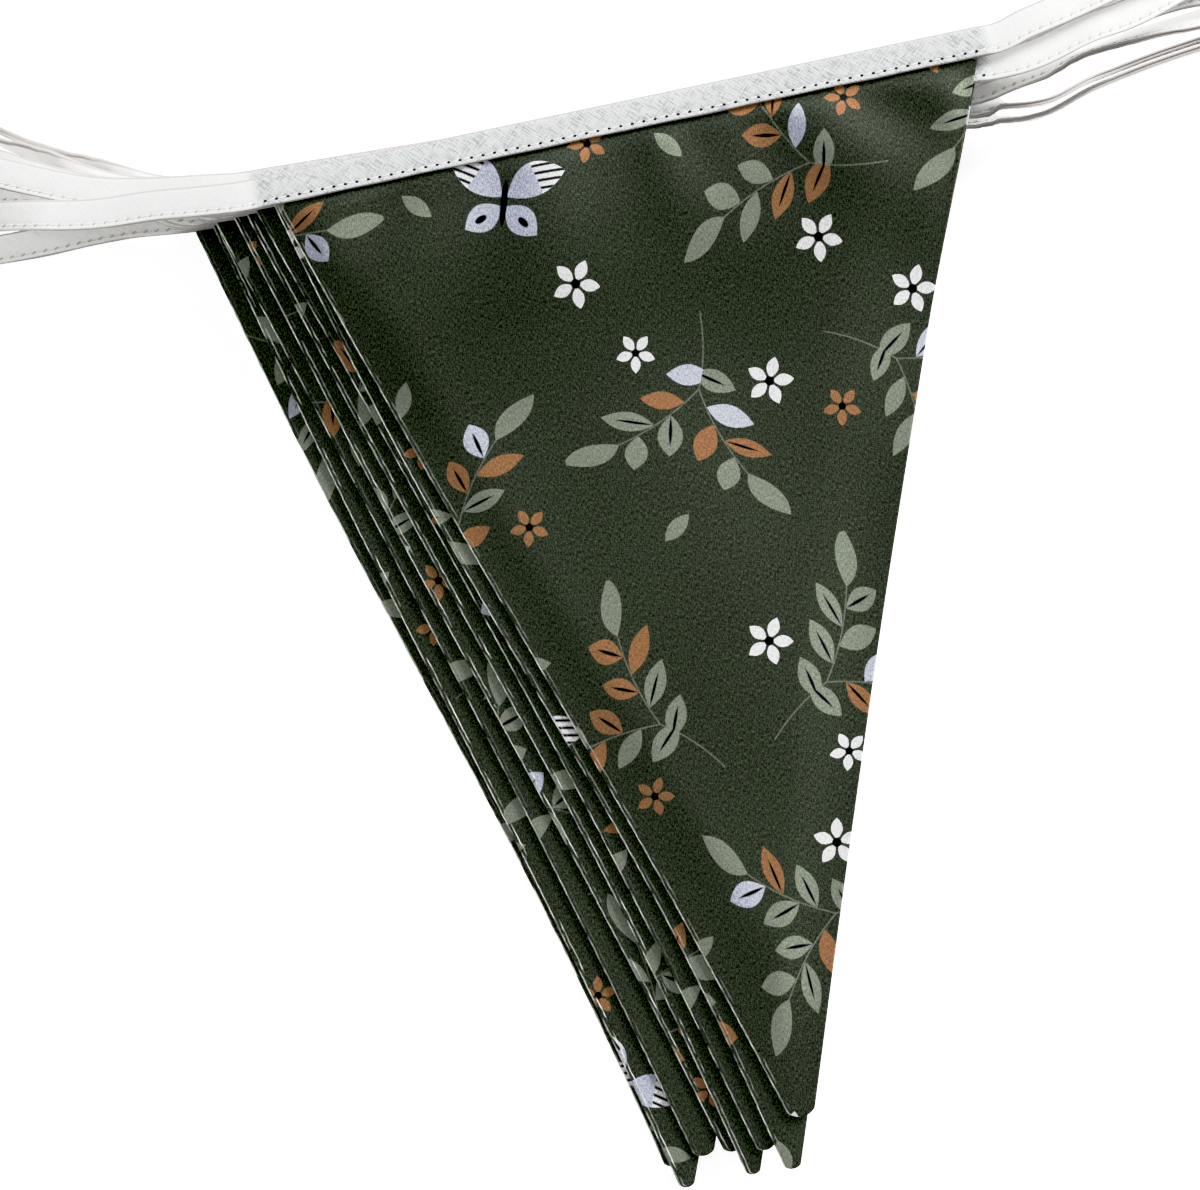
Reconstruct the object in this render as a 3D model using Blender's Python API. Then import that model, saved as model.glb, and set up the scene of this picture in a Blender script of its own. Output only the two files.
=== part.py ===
"""A cloth bunting folded up for storage and laid flat.

Eight double flags are sewn into one folded binding tape. The tape runs back and forth, so
that the flags lie on each other in a fan, and between two flags it hangs out at a side as a
loop. Lengths are in millimetres in the tables, and metres in the model, with +Z up. The
origin is on the flat underside of the lowest flag, +X runs along the top flag's tape, and the
flags point to -Y.
"""

import math
from typing import NamedTuple

import bmesh
import bpy
from mathutils import Vector

MM = 0.001

# The flags: one cut for all, two panels sewn and turned
FLAG_WIDTH = 168.0
FLAG_THICKNESS = 1.0
RIGHT_BOW = 1.6
FLAG_COLUMNS = 9
FLAG_ROWS = 15
FIRST_ROW = 8.0
ROW_SPREAD = 1.15
TIP_ROWS = (0.6, 0.93)

# The binding tape: folded in half lengthwise, its two legs sewn over the flags' top edges
TAPE_WIDTH = 7.2
TAPE_THICKNESS = 2.7
TAPE_FREE_THICKNESS = 1.4
SLOT_HEIGHT = 1.1
SLOT_DEPTH = 6.4
NOTCH_HEIGHT = 0.3
NOTCH_DEPTH = 0.6
BOUND_THICKNESS = 0.5
BOUND_DEPTH = 6.0
BOUND_END = 0.4
FULL_START = 1.8

# The pile: how far apart the layers lie, at the tape and further down the flags
TAPE_PITCH = 3.0
PILE_PITCH = 1.3
FIRST_SETTLE = 14.0
SETTLE_STEP = 7.0
RIPPLE = 1.5
RIPPLE_LENGTH = 64.0
RIPPLE_SLANT = 0.25

# How the free tape comes down from the pile, and the air that it keeps where it lies on itself
DESCENT = 3.2
SHORTEST_DESCENT = 10.0
STEEPEST_STEP = 2.2
LOWERING = 0.15
AIR = 0.5

# How finely the tape is divided, in a free stretch and round a fold
FREE_STEP = 5.0
TURN_PARTS = 6
PASS_END = 5.0
SLOT_END = 1.2
PASS_PLACES = (-PASS_END, -SLOT_END, FLAG_WIDTH / 2, FLAG_WIDTH + SLOT_END, FLAG_WIDTH + PASS_END)
CORNER_STEP = 4
CORNER_STEPS = 8
CORNER_PLACES = tuple(
    place
    for step in range(-1, CORNER_STEPS)
    for place in (CORNER_STEP * step, FLAG_WIDTH - CORNER_STEP * step)
)

# The finish of each cloth
SHARP_ANGLE = 40.0
FLAG_COLOUR = (0.034, 0.045, 0.03)
FLAG_ROUGHNESS = 0.9
TAPE_COLOUR = (0.78, 0.78, 0.76)
TAPE_ROUGHNESS = 0.85


class Flag(NamedTuple):
    """One flag's left corner under the tape, its turn in degrees, and its own handmade cut.

    The apex is how far along the tape the tip lies, and the drop is how far below it. The bow
    and the wave are how far the left edge strays from a straight line.
    """

    x: float
    y: float
    turn: float
    apex: float
    drop: float
    tip: float
    bow: float
    wave: float


# From the lowest flag to the top one
FLAGS = (
    Flag(x=-81.5, y=88.0, turn=-2.8, apex=80.0, drop=241.0, tip=3.0, bow=0.8, wave=-1.3),
    Flag(x=-76.8, y=88.0, turn=-3.2, apex=79.6, drop=246.0, tip=2.5, bow=0.2, wave=-0.9),
    Flag(x=-75.6, y=88.0, turn=-2.4, apex=80.2, drop=240.0, tip=3.5, bow=1.6, wave=-0.2),
    Flag(x=-70.8, y=88.0, turn=-1.7, apex=79.5, drop=241.0, tip=3.0, bow=0.0, wave=-0.8),
    Flag(x=-67.4, y=87.5, turn=-1.7, apex=79.9, drop=246.5, tip=2.5, bow=2.3, wave=-1.1),
    Flag(x=-64.8, y=87.5, turn=-1.0, apex=78.2, drop=242.0, tip=3.0, bow=2.5, wave=-0.4),
    Flag(x=-60.5, y=89.4, turn=-2.2, apex=84.7, drop=247.5, tip=3.0, bow=1.0, wave=-2.4),
    Flag(x=-59.3, y=87.0, turn=0.4, apex=76.7, drop=236.5, tip=4.5, bow=0.6, wave=-0.7),
)


class Via(NamedTuple):
    """A place that the tape's middle line passes over, and how far its sewn edge is rolled up."""

    x: float
    y: float
    roll: float = 0.0


class Turn(NamedTuple):
    """A loop's end: its middle, the way that it points, its roll and its radius."""

    x: float
    y: float
    heading: float
    roll: float
    radius: float


class Loop(NamedTuple):
    """The tape between two flags: from the lower flag to the turn, and on to the upper flag."""

    back: tuple
    turn: Turn
    out: tuple


# The lowest flag's free end, from the flag to its tip
LOW_TAIL = (Via(-97, 93), Via(-117, 93), Via(-153, 93), Via(-182, 90), Via(-217, 80))

# Where each flag's tape goes on to the next flag up, from the bottom of the pile
LOOPS = (
    Loop(
        back=(Via(97.5, 81.6), Via(104, 79.4), Via(109, 77.4, 30), Via(114, 75.5, 75),
              Via(122, 74.4, 86), Via(137, 78.2, 86), Via(165, 82.6, 86)),
        turn=Turn(178, 84.6, heading=6, roll=86, radius=1.2),
        out=(Via(101, 82.2), Via(106, 81), Via(111, 79.4, 35), Via(115.5, 78.1, 80),
             Via(122, 77, 86), Via(137, 80.8, 86), Via(165, 85.2, 86)),
    ),
    Loop(
        back=(Via(-91, 96), Via(-108, 101), Via(-124, 106)),
        turn=Turn(-136, 108.5, heading=168, roll=0, radius=1.1),
        out=(Via(-90, 97), Via(-108, 101.5), Via(-124, 106.5)),
    ),
    Loop(
        back=(Via(108, 83), Via(121, 84.8, 28), Via(137, 87, 75), Via(154, 89, 60),
              Via(166, 89.6, 48)),
        turn=Turn(182, 92.5, heading=4, roll=28, radius=1.6),
        out=(Via(117, 88), Via(127, 90.4), Via(137, 92.4), Via(150, 94.6), Via(166, 96, 10)),
    ),
    Loop(
        back=(Via(-80.5, 95.4), Via(-90.5, 99.6), Via(-99, 104.6, -35), Via(-106.3, 109.6, -78),
              Via(-114.3, 115, -88), Via(-121.6, 120.2, -88)),
        turn=Turn(-135, 130.5, heading=138, roll=-88, radius=1.3),
        out=(Via(-80, 95), Via(-91.7, 98.4), Via(-100, 101.6), Via(-107, 105.6, -15),
             Via(-113.6, 111.4, -70), Via(-122.2, 117.4, -88)),
    ),
    Loop(
        back=(Via(116, 89.5), Via(133, 95), Via(146, 98.5), Via(158, 102)),
        turn=Turn(170, 106, heading=14, roll=0, radius=1.5),
        out=(Via(116, 90.5), Via(133, 96), Via(146, 99.5), Via(158, 102.5)),
    ),
    Loop(
        back=(Via(-90, 96.6), Via(-102, 100.4), Via(-116.4, 107.2), Via(-125, 112.4)),
        turn=Turn(-136, 116.5, heading=147, roll=0, radius=1.9),
        out=(Via(-75.7, 94.6), Via(-89, 96.8), Via(-101.4, 99.6), Via(-114, 104.6),
             Via(-124.5, 109.6)),
    ),
    Loop(
        back=(Via(119, 86.5), Via(136, 90.5), Via(147, 92.5), Via(164, 98)),
        turn=Turn(186, 106, heading=18, roll=0, radius=2.4),
        out=(Via(120, 93.5), Via(131, 96), Via(143, 99), Via(158, 102)),
    ),
)

# The top flag's free end, from the flag to its tip
TOP_TAIL = (
    Via(-76, 91.5), Via(-88, 93), Via(-102, 94), Via(-118, 97), Via(-127, 99), Via(-151, 104),
    Via(-175, 110), Via(-197, 119),
)


def smoothstep(share):
    """Eases a share of 0 to 1."""
    share = min(max(share, 0.0), 1.0)
    return share * share * (3.0 - 2.0 * share)


def sewn_height(level):
    """The middle height of a flag's top edge, and of its tape."""
    return TAPE_THICKNESS / 2 + TAPE_PITCH * level


def ripple(x, y):
    """The cloth's soft swell over the pile, from 0 to 1."""
    across = (x + RIPPLE_SLANT * y) / RIPPLE_LENGTH
    return 0.5 + 0.5 * math.sin(2 * math.pi * across) * math.cos(math.pi * y / FLAG_WIDTH)


def flag_height(level, x, y, below):
    """The middle height of a flag, a distance below its tape."""
    settled = smoothstep(below / (FIRST_SETTLE + SETTLE_STEP * level))
    resting = FLAG_THICKNESS / 2 + PILE_PITCH * level
    resting += RIPPLE * level / (len(FLAGS) - 1) * ripple(x, y)
    return sewn_height(level) * (1 - settled) + resting * settled


def apex_depth(flag):
    """How far below the tape the flag's two edges would meet."""
    half_angle = math.atan2(FLAG_WIDTH / 2, flag.drop)
    return flag.drop + flag.tip * (1 / math.sin(half_angle) - 1)


def edge_places(flag, below):
    """How far along the tape the flag's left and right edges are, a distance below it."""
    depth = apex_depth(flag)
    share = max(below, 0.0) / depth
    arch, swing = math.sin(math.pi * share), math.sin(2 * math.pi * share)
    left = flag.apex * share + flag.bow * arch + flag.wave * swing
    right = FLAG_WIDTH + (flag.apex - FLAG_WIDTH) * share - RIGHT_BOW * arch
    centre = flag.drop - flag.tip
    if below > centre:
        half = math.sqrt(max(flag.tip**2 - (below - centre) ** 2, 0.0))
        middle = (left + right) / 2
        left, right = max(left, middle - half), min(right, middle + half)
    return left, right


def flag_rows(flag):
    """Each row's distance below the tape and its thickness."""
    yield -BOUND_DEPTH, BOUND_THICKNESS
    yield BOUND_END, BOUND_THICKNESS
    yield FULL_START, FLAG_THICKNESS
    end = flag.drop - flag.tip
    for row in range(FLAG_ROWS):
        share = (row / (FLAG_ROWS - 1)) ** ROW_SPREAD
        yield FIRST_ROW + (end - FIRST_ROW) * share, FLAG_THICKNESS
    for part in TIP_ROWS:
        yield end + flag.tip * part, FLAG_THICKNESS


def in_pile(flag, along, below):
    """A place on a flag, in the model's plane."""
    turn = math.radians(flag.turn)
    x = flag.x + along * math.cos(turn) + below * math.sin(turn)
    y = flag.y + along * math.sin(turn) - below * math.cos(turn)
    return x, y


def mesh_object(name, builder, material):
    """A new object from a filled bmesh, with its faces turned outwards."""
    bmesh.ops.recalc_face_normals(builder, faces=builder.faces)
    mesh = bpy.data.meshes.new(name)
    builder.to_mesh(mesh)
    builder.free()
    mesh.materials.append(material)
    mesh.shade_smooth()
    mesh.set_sharp_from_angle(angle=math.radians(SHARP_ANGLE))
    made = bpy.data.objects.new(name, mesh)
    bpy.context.scene.collection.objects.link(made)
    return made


def make_flag(level, material):
    """One double flag as a sheet, thinner where the tape grips its top edge."""
    flag = FLAGS[level]
    builder = bmesh.new()
    sides = ([], [])
    for below, thickness in flag_rows(flag):
        left, right = edge_places(flag, below)
        rows = ([], [])
        for column in range(FLAG_COLUMNS):
            along = left + (right - left) * column / (FLAG_COLUMNS - 1)
            x, y = in_pile(flag, along, below)
            z = flag_height(level, x, y, below)
            for row, half in zip(rows, (thickness / 2, -thickness / 2)):
                row.append(builder.verts.new(Vector((x, y, z + half)) * MM))
        for side, row in zip(sides, rows):
            side.append(row)
    fill_grid(builder, sides[0])
    fill_grid(builder, sides[1])
    fill_rim(builder, outline(sides[0]), outline(sides[1]))
    return mesh_object(f"flag_{level + 1:02d}", builder, material)


def fill_grid(builder, rows):
    """Faces between neighbouring rows of vertices."""
    for upper, lower in zip(rows, rows[1:]):
        for column in range(len(upper) - 1):
            near, far = column, column + 1
            builder.faces.new((upper[near], upper[far], lower[far], lower[near]))


def outline(rows):
    """The vertices round a grid, in order."""
    down = [row[-1] for row in rows[1:-1]]
    up = [row[0] for row in reversed(rows[1:-1])]
    return rows[0] + down + rows[-1][::-1] + up


def fill_rim(builder, upper, lower):
    """The narrow wall between the outlines of two grids."""
    for place in range(len(upper)):
        following = (place + 1) % len(upper)
        builder.faces.new((upper[place], upper[following], lower[following], lower[place]))


class Slice(NamedTuple):
    """A cross-section of the tape: its middle, the way to its sewn edge, and how far it is open."""

    place: Vector
    across: Vector
    bound: float


def toward_flags(way, side, roll):
    """The direction from the tape's fold to its sewn edge, which is level at a roll of 0."""
    level = Vector((way.y, -way.x, 0)) * side
    return level * math.cos(math.radians(roll)) + Vector((0, 0, math.sin(math.radians(roll))))


def compass(degrees):
    """A level direction."""
    return Vector((math.cos(math.radians(degrees)), math.sin(math.radians(degrees))))


def tape_over_flag(level, places):
    """Slices of the straight tape over one flag, at distances along it from the left corner."""
    flag = FLAGS[level]
    across = toward_flags(compass(flag.turn), 1, 0)
    slices = []
    for along in places:
        x, y = in_pile(flag, along, -TAPE_WIDTH / 2)
        bound = float(-PASS_END < along < FLAG_WIDTH + PASS_END)
        slices.append(Slice(Vector((x, y, sewn_height(level))), across, bound))
    return slices


def plan_curve(places, leaving, arriving):
    """Points and directions along a smooth level curve through places, a short step apart."""
    steps = [(after - before).length for before, after in zip(places, places[1:])]
    chords = [(after - before) / step for before, after, step in zip(places, places[1:], steps)]
    ways = [leaving]
    for before, after, first, second in zip(chords, chords[1:], steps, steps[1:]):
        ways.append((before * second + after * first) / (first + second))
    ways.append(arriving or chords[-1])
    for number, length in enumerate(steps):
        count = max(1, math.ceil(length / FREE_STEP))
        for part in range(1, count + 1):
            share = part / count
            cube, square = share**3, share**2
            point = places[number].lerp(places[number + 1], 3 * square - 2 * cube)
            point += ways[number] * length * (cube - 2 * square + share)
            point += ways[number + 1] * length * (cube - square)
            way = chords[number] * (6 * share - 6 * square)
            way += ways[number] * (3 * square - 4 * share + 1)
            way += ways[number + 1] * (3 * square - 2 * share)
            yield number, share, point, way.normalized()


def halves(piece, sideways):
    """A cross-section's middle and half sides, seen along the tape."""
    middle = Vector((piece.place.dot(sideways), piece.place.z))
    wide = Vector((piece.across.dot(sideways), piece.across.z)).normalized()
    thick = TAPE_FREE_THICKNESS + (TAPE_THICKNESS - TAPE_FREE_THICKNESS) * piece.bound
    return middle, wide, Vector((-wide.y, wide.x)), TAPE_WIDTH / 2, thick / 2


def apart(first, second):
    """Whether two cross-sections leave air between them."""
    gap = second[0] - first[0]
    for axis in (first[1], first[2], second[1], second[2]):
        reach = AIR
        for shape in (first, second):
            reach += abs(shape[1].dot(axis)) * shape[3] + abs(shape[2].dot(axis)) * shape[4]
        if abs(gap.dot(axis)) > reach:
            return True
    return False


def rest_on(piece, way, below):
    """The height at which a cross-section, let down from above, comes to rest."""
    sideways = Vector((-way.y, way.x, 0))
    middle, *shape = halves(piece, sideways)
    near = [
        halves(other, sideways)
        for other in below
        if abs((other.place - piece.place).dot(way)) < FREE_STEP
        and (other.place - piece.place).to_2d().length < 2 * TAPE_WIDTH
    ]
    floor = max(middle.y, abs(shape[0].y) * shape[2] + abs(shape[1].y) * shape[3])
    height = max([floor] + [other[0].y + TAPE_WIDTH + AIR for other in near])
    while height > floor:
        lower = (Vector((middle.x, height - LOWERING)), *shape)
        if not all(apart(lower, other) for other in near):
            return height
        height -= LOWERING
    return floor


def eased_heights(heights):
    """Heights without steep steps, none lower than given, with the first kept."""
    last = len(heights) - 1
    gentle = [
        max(other - STEEPEST_STEP * abs(place - number) for number, other in enumerate(heights))
        for place in range(last + 1)
    ]
    raised = [max(gentle[max(0, place - 1) : place + 2]) for place in range(last + 1)]
    eased = [sum(raised[place - 1 : place + 2]) / 3 for place in range(1, last)]
    return [heights[0]] + eased + [gentle[-1]]


class TurnEnd(NamedTuple):
    """Where a strand meets a loop's end: its place, direction and roll, and its least height."""

    place: Vector
    ahead: Vector
    roll: float
    height: float


def lay_strand(start, vias, side, below, end=None):
    """A free stretch of tape, from a flag outwards, laid on whatever is below it."""
    places = [start.place.to_2d()] + [Vector(via[:2]) for via in vias]
    rolls = [0.0] + [via.roll for via in vias]
    if end:
        places.append(end.place)
        rolls.append(end.roll)
    leaving = Vector((-start.across.y, start.across.x)) * side
    drop = start.place.z - TAPE_THICKNESS / 2
    length = sum((after - before).length for before, after in zip(places, places[1:]))
    run = min(max(SHORTEST_DESCENT, DESCENT * drop), length)
    rest = end.height if end else TAPE_FREE_THICKNESS / 2
    slices, gone = [start], 0.0
    for number, share, point, way in plan_curve(places, leaving, end and end.ahead):
        gone += (point - slices[-1].place.to_2d()).length
        roll = rolls[number] + (rolls[number + 1] - rolls[number]) * smoothstep(share)
        height = start.place.z + (rest - start.place.z) * smoothstep(gone / run)
        piece = Slice(Vector((*point, height)), toward_flags(way, side, roll), 0.0)
        piece.place.z = rest_on(piece, way.to_3d(), below)
        slices.append(piece)
    if end:
        slices[-1].place.z = max(slices[-1].place.z, end.height)
    for piece, height in zip(slices, eased_heights([piece.place.z for piece in slices])):
        piece.place.z = height
    return slices[1:]


def bend_reach(turn, side):
    """From a loop's middle to its farther or upper strand, at the loop's end."""
    ahead = compass(turn.heading).to_3d()
    return toward_flags(ahead, side, turn.roll).cross(ahead) * side * turn.radius


def lay_bend(turn, side, lower, upper):
    """The round end of a loop, between the heights of its two strands."""
    ahead = compass(turn.heading).to_3d()
    across = toward_flags(ahead, side, turn.roll)
    reach = Vector((*bend_reach(turn, side).to_2d(), (upper - lower) / 2))
    middle = Vector((turn.x, turn.y, (lower + upper) / 2))
    angles = [math.pi * part / TURN_PARTS for part in range(1, TURN_PARTS)]
    return [
        Slice(middle - reach * math.cos(angle) + ahead * turn.radius * math.sin(angle), across, 0.0)
        for angle in angles
    ]


def lay_loop(level, below):
    """The tape from a flag's end round to the next flag up, in that order."""
    loop = LOOPS[level]
    turn = loop.turn
    side = 1 if level % 2 == 0 else -1
    corner = FLAG_WIDTH + PASS_END if side > 0 else -PASS_END
    lower, upper = (tape_over_flag(at, (corner,))[0] for at in (level, level + 1))
    ahead, reach = compass(turn.heading), bend_reach(turn, side)
    middle = Vector((turn.x, turn.y))
    near = TurnEnd(middle - reach.to_2d(), ahead, turn.roll, TAPE_FREE_THICKNESS / 2)
    back = lay_strand(lower, loop.back, side, below, near)
    below = below + back + tape_over_flag(level, CORNER_PLACES)
    base = back[-1].place.z
    far = TurnEnd(middle + reach.to_2d(), ahead, turn.roll, base + 2 * reach.z)
    out = lay_strand(upper, loop.out, side, below, far)
    return back + lay_bend(turn, side, base, out[-1].place.z) + out[::-1]


def lay_tape():
    """The whole tape, from the lowest flag's free end to the top flag's."""
    first, last = (tape_over_flag(level, PASS_PLACES) for level in (0, len(FLAGS) - 1))
    tail = lay_strand(first[0], LOW_TAIL, -1, [])
    route, below = tail[::-1] + first, list(tail)
    for level in range(len(LOOPS)):
        loop = lay_loop(level, below)
        over = tape_over_flag(level + 1, PASS_PLACES)
        route += loop + (over[::-1] if level % 2 == 0 else over)
        below += loop + tape_over_flag(level, CORNER_PLACES)
    return route + lay_strand(last[0], TOP_TAIL, -1, below)


def directions(route):
    """The way that the tape runs at each of its slices."""
    last = len(route) - 1
    for number in range(last + 1):
        ahead = route[min(number + 1, last)].place - route[max(number - 1, 0)].place
        yield ahead.normalized()


def section(bound):
    """The tape's outline: two legs and the slot between them, which is a notch where it is free."""
    edge = TAPE_WIDTH / 2
    half = (TAPE_FREE_THICKNESS + (TAPE_THICKNESS - TAPE_FREE_THICKNESS) * bound) / 2
    slot = (NOTCH_HEIGHT + (SLOT_HEIGHT - NOTCH_HEIGHT) * bound) / 2
    root = edge - NOTCH_DEPTH - (SLOT_DEPTH - NOTCH_DEPTH) * bound
    upper = [(-edge, half), (edge, half), (edge, slot), (root, slot)]
    return upper + [(across, -height) for across, height in reversed(upper)]


def make_tape(material):
    """The binding tape as one body, swept along its whole route."""
    builder = bmesh.new()
    rings = []
    route = lay_tape()
    for piece, ahead in zip(route, directions(route)):
        across = (piece.across - ahead * piece.across.dot(ahead)).normalized()
        normal = ahead.cross(across)
        ring = [
            builder.verts.new((piece.place + across * wide + normal * high) * MM)
            for wide, high in section(piece.bound)
        ]
        rings.append(ring)
    for first, second in zip(rings, rings[1:]):
        fill_rim(builder, first, second)
    builder.faces.new(rings[0])
    builder.faces.new(rings[-1])
    return mesh_object("binding_tape", builder, material)


def cloth_material(name, colour, roughness):
    """A plain matt cloth finish."""
    material = bpy.data.materials.new(name)
    material.use_nodes = True
    shader = material.node_tree.nodes["Principled BSDF"]
    shader.inputs["Base Color"].default_value = (*colour, 1.0)
    shader.inputs["Roughness"].default_value = roughness
    shader.inputs["Metallic"].default_value = 0.0
    return material


def clear_scene():
    """Takes away whatever the file holds."""
    for old in list(bpy.data.objects):
        bpy.data.objects.remove(old, do_unlink=True)


def main():
    """Builds the flags and the tape."""
    clear_scene()
    for level in range(len(FLAGS)):
        cotton = cloth_material(f"flag_cotton_{level + 1:02d}", FLAG_COLOUR, FLAG_ROUGHNESS)
        make_flag(level, cotton)
    make_tape(cloth_material("tape_cotton", TAPE_COLOUR, TAPE_ROUGHNESS))


main()
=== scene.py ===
"""Dresses the folded bunting: its printed cotton flags, the white binding tape and the sewing.

Lengths in the classes are in millimetres, and the meshes are in metres in the frame of the
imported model. The flags and the tape lie where their solids lie, on the same few sizes.
"""

import logging
import math
from collections.abc import Callable, Iterator, Sequence
from dataclasses import dataclass, field
from enum import Enum
from itertools import pairwise
from typing import Union

import bpy
import numpy as np
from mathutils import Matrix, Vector


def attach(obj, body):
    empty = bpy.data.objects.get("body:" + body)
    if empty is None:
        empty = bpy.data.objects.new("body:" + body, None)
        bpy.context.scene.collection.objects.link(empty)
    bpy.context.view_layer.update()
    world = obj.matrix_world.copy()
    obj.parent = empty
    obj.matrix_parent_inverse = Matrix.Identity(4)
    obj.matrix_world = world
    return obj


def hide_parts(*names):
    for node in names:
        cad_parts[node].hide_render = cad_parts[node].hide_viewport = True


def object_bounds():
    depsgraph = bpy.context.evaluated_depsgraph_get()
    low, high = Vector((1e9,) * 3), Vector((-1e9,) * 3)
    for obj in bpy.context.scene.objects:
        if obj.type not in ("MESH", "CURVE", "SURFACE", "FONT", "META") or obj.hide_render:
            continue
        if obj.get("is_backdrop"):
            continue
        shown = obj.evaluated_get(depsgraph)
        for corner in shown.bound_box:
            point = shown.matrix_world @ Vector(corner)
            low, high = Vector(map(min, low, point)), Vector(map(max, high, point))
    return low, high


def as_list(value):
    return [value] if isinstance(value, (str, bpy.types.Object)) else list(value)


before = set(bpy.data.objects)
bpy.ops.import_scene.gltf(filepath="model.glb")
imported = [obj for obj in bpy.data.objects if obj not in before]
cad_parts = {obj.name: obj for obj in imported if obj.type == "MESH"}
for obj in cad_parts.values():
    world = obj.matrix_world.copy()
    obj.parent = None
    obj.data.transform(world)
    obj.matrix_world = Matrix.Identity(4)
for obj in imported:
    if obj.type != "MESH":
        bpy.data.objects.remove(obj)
cad_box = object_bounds()

MM = 0.001
BODY = "root"
log = logging.getLogger("bunting")

Colour = tuple[float, float, float]
Number = Union["Value", float]


def smoothstep(share: float) -> float:
    """Eases a share of 0 to 1."""
    share = min(max(share, 0.0), 1.0)
    return share * share * (3.0 - 2.0 * share)


def compass(degrees: float) -> Vector:
    """A level direction."""
    return Vector((math.cos(math.radians(degrees)), math.sin(math.radians(degrees))))


def curved(ends: tuple[Vector, Vector], leaving: Vector, arriving: Vector,
           share: float) -> Vector:
    """A point on a smooth curve between two others.

    Args:
        ends: Where the curve starts and ends.
        leaving: Its direction at the start, as long as the curve.
        arriving: Its direction at the end, as long as the curve.
        share: How far along it the point is, from 0 to 1.

    Returns:
        The point.
    """
    cube, square = share**3, share**2
    point = ends[0].lerp(ends[1], 3 * square - 2 * cube)
    return point + leaving * (cube - 2 * square + share) + arriving * (cube - square)


def added(name: str, data: bpy.types.ID) -> bpy.types.Object:
    """Makes an object and adds it to the scene."""
    made = bpy.data.objects.new(name, data)
    bpy.context.scene.collection.objects.link(made)
    return made


class Nodes:
    """A material's or a modifier's node tree, to which nodes are added by one method."""

    def __init__(self, tree: bpy.types.NodeTree) -> None:
        """Keeps the tree."""
        self.tree = tree

    def add(self, kind: str, settings: dict | None = None, inputs: dict | None = None):
        """Adds a node.

        Args:
            kind: The node's type.
            settings: Its own properties, which are set first.
            inputs: A value, a socket or a Value for each named or numbered input.

        Returns:
            The node.
        """
        node = self.tree.nodes.new(kind)
        for name, setting in (settings or {}).items():
            setattr(node, name, setting)
        for key, given in (inputs or {}).items():
            if isinstance(given, Value):
                given = given.socket
            if isinstance(given, bpy.types.NodeSocket):
                self.tree.links.new(given, node.inputs[key])
            else:
                node.inputs[key].default_value = given
        return node

    def value(self, kind: str, output: int | str, settings: dict | None = None,
              inputs: dict | None = None) -> "Value":
        """Adds a node and wraps one of its outputs."""
        return Value(self, self.add(kind, settings, inputs).outputs[output])

    def mix(self, share: Number, first: object, second: object) -> "Value":
        """Blends two colours.

        Args:
            share: How much of the second one there is.
            first: A colour or a Value.
            second: A colour or a Value.

        Returns:
            The blended colour.
        """
        colours = [(*c, 1.0) if isinstance(c, tuple) else c for c in (first, second)]
        inputs = {"Factor": share, 6: colours[0], 7: colours[1]}
        return self.value("ShaderNodeMix", 2, {"data_type": "RGBA"}, inputs)

    def noise(self, place: "Value", scale: float, detail: float = 2.0) -> "Value":
        """Adds a noise pattern of 0 to 1 about places in a vector."""
        inputs = {"Vector": place, "Scale": scale, "Detail": detail}
        return self.value("ShaderNodeTexNoise", 0, {"noise_dimensions": "3D"}, inputs)

    def vector(self, x: Number, y: Number, z: Number = 0.0) -> "Value":
        """Joins three numbers into a vector."""
        return self.value("ShaderNodeCombineXYZ", 0, None, {0: x, 1: y, 2: z})

    def attribute(self, name: str) -> "Value":
        """Reads a number that the mesh carries."""
        return self.value("ShaderNodeAttribute", "Fac", {"attribute_name": name})

    def cloth(self, uv_map: str) -> "Place":
        """Reads the place on a cloth from its UV map, which is in metres."""
        uv = self.value("ShaderNodeUVMap", 0, {"uv_map": uv_map})
        parts = self.add("ShaderNodeSeparateXYZ", None, {0: uv})
        return Place(*(Value(self, parts.outputs[axis]) * (1 / MM) for axis in range(2)))


@dataclass(frozen=True)
class Feel:
    """How a cloth scatters light, and how deep its weave is, in metres."""

    relief: float
    strength: float
    roughness: float
    sheen: float
    specular: float

    def give(self, shader: bpy.types.Node, colour: "Value", height: "Value") -> None:
        """Gives a shader a cloth's colour, relief and sheen.

        Args:
            shader: The Principled BSDF.
            colour: The cloth's colour.
            height: Its weave, from 0 to 1.
        """
        nodes = colour.nodes
        weave = nodes.add("ShaderNodeBump", None, {"Height": height, "Distance": self.relief})
        weave.inputs["Strength"].default_value = self.strength
        nodes.tree.links.new(weave.outputs[0], shader.inputs["Normal"])
        nodes.tree.links.new(colour.socket, shader.inputs["Base Color"])
        shader.inputs["Roughness"].default_value = self.roughness
        shader.inputs["Sheen Weight"].default_value = self.sheen
        shader.inputs["Specular IOR Level"].default_value = self.specular


def maths(operation: str, swapped: bool = False) -> Callable[..., "Value"]:
    """Makes a method of Value that adds one Math node.

    Args:
        operation: The node's operation.
        swapped: Whether the other operand comes first.

    Returns:
        The method, which takes the other operands as numbers or Values.
    """

    def method(value: "Value", *others: Number, clamp: bool = False) -> "Value":
        """Adds the node and wraps its result, kept within 0 and 1 if that is asked for."""
        operands = (*others, value) if swapped else (value, *others)
        settings = {"operation": operation, "use_clamp": clamp}
        return value.nodes.value("ShaderNodeMath", 0, settings, dict(enumerate(operands)))

    return method


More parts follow.
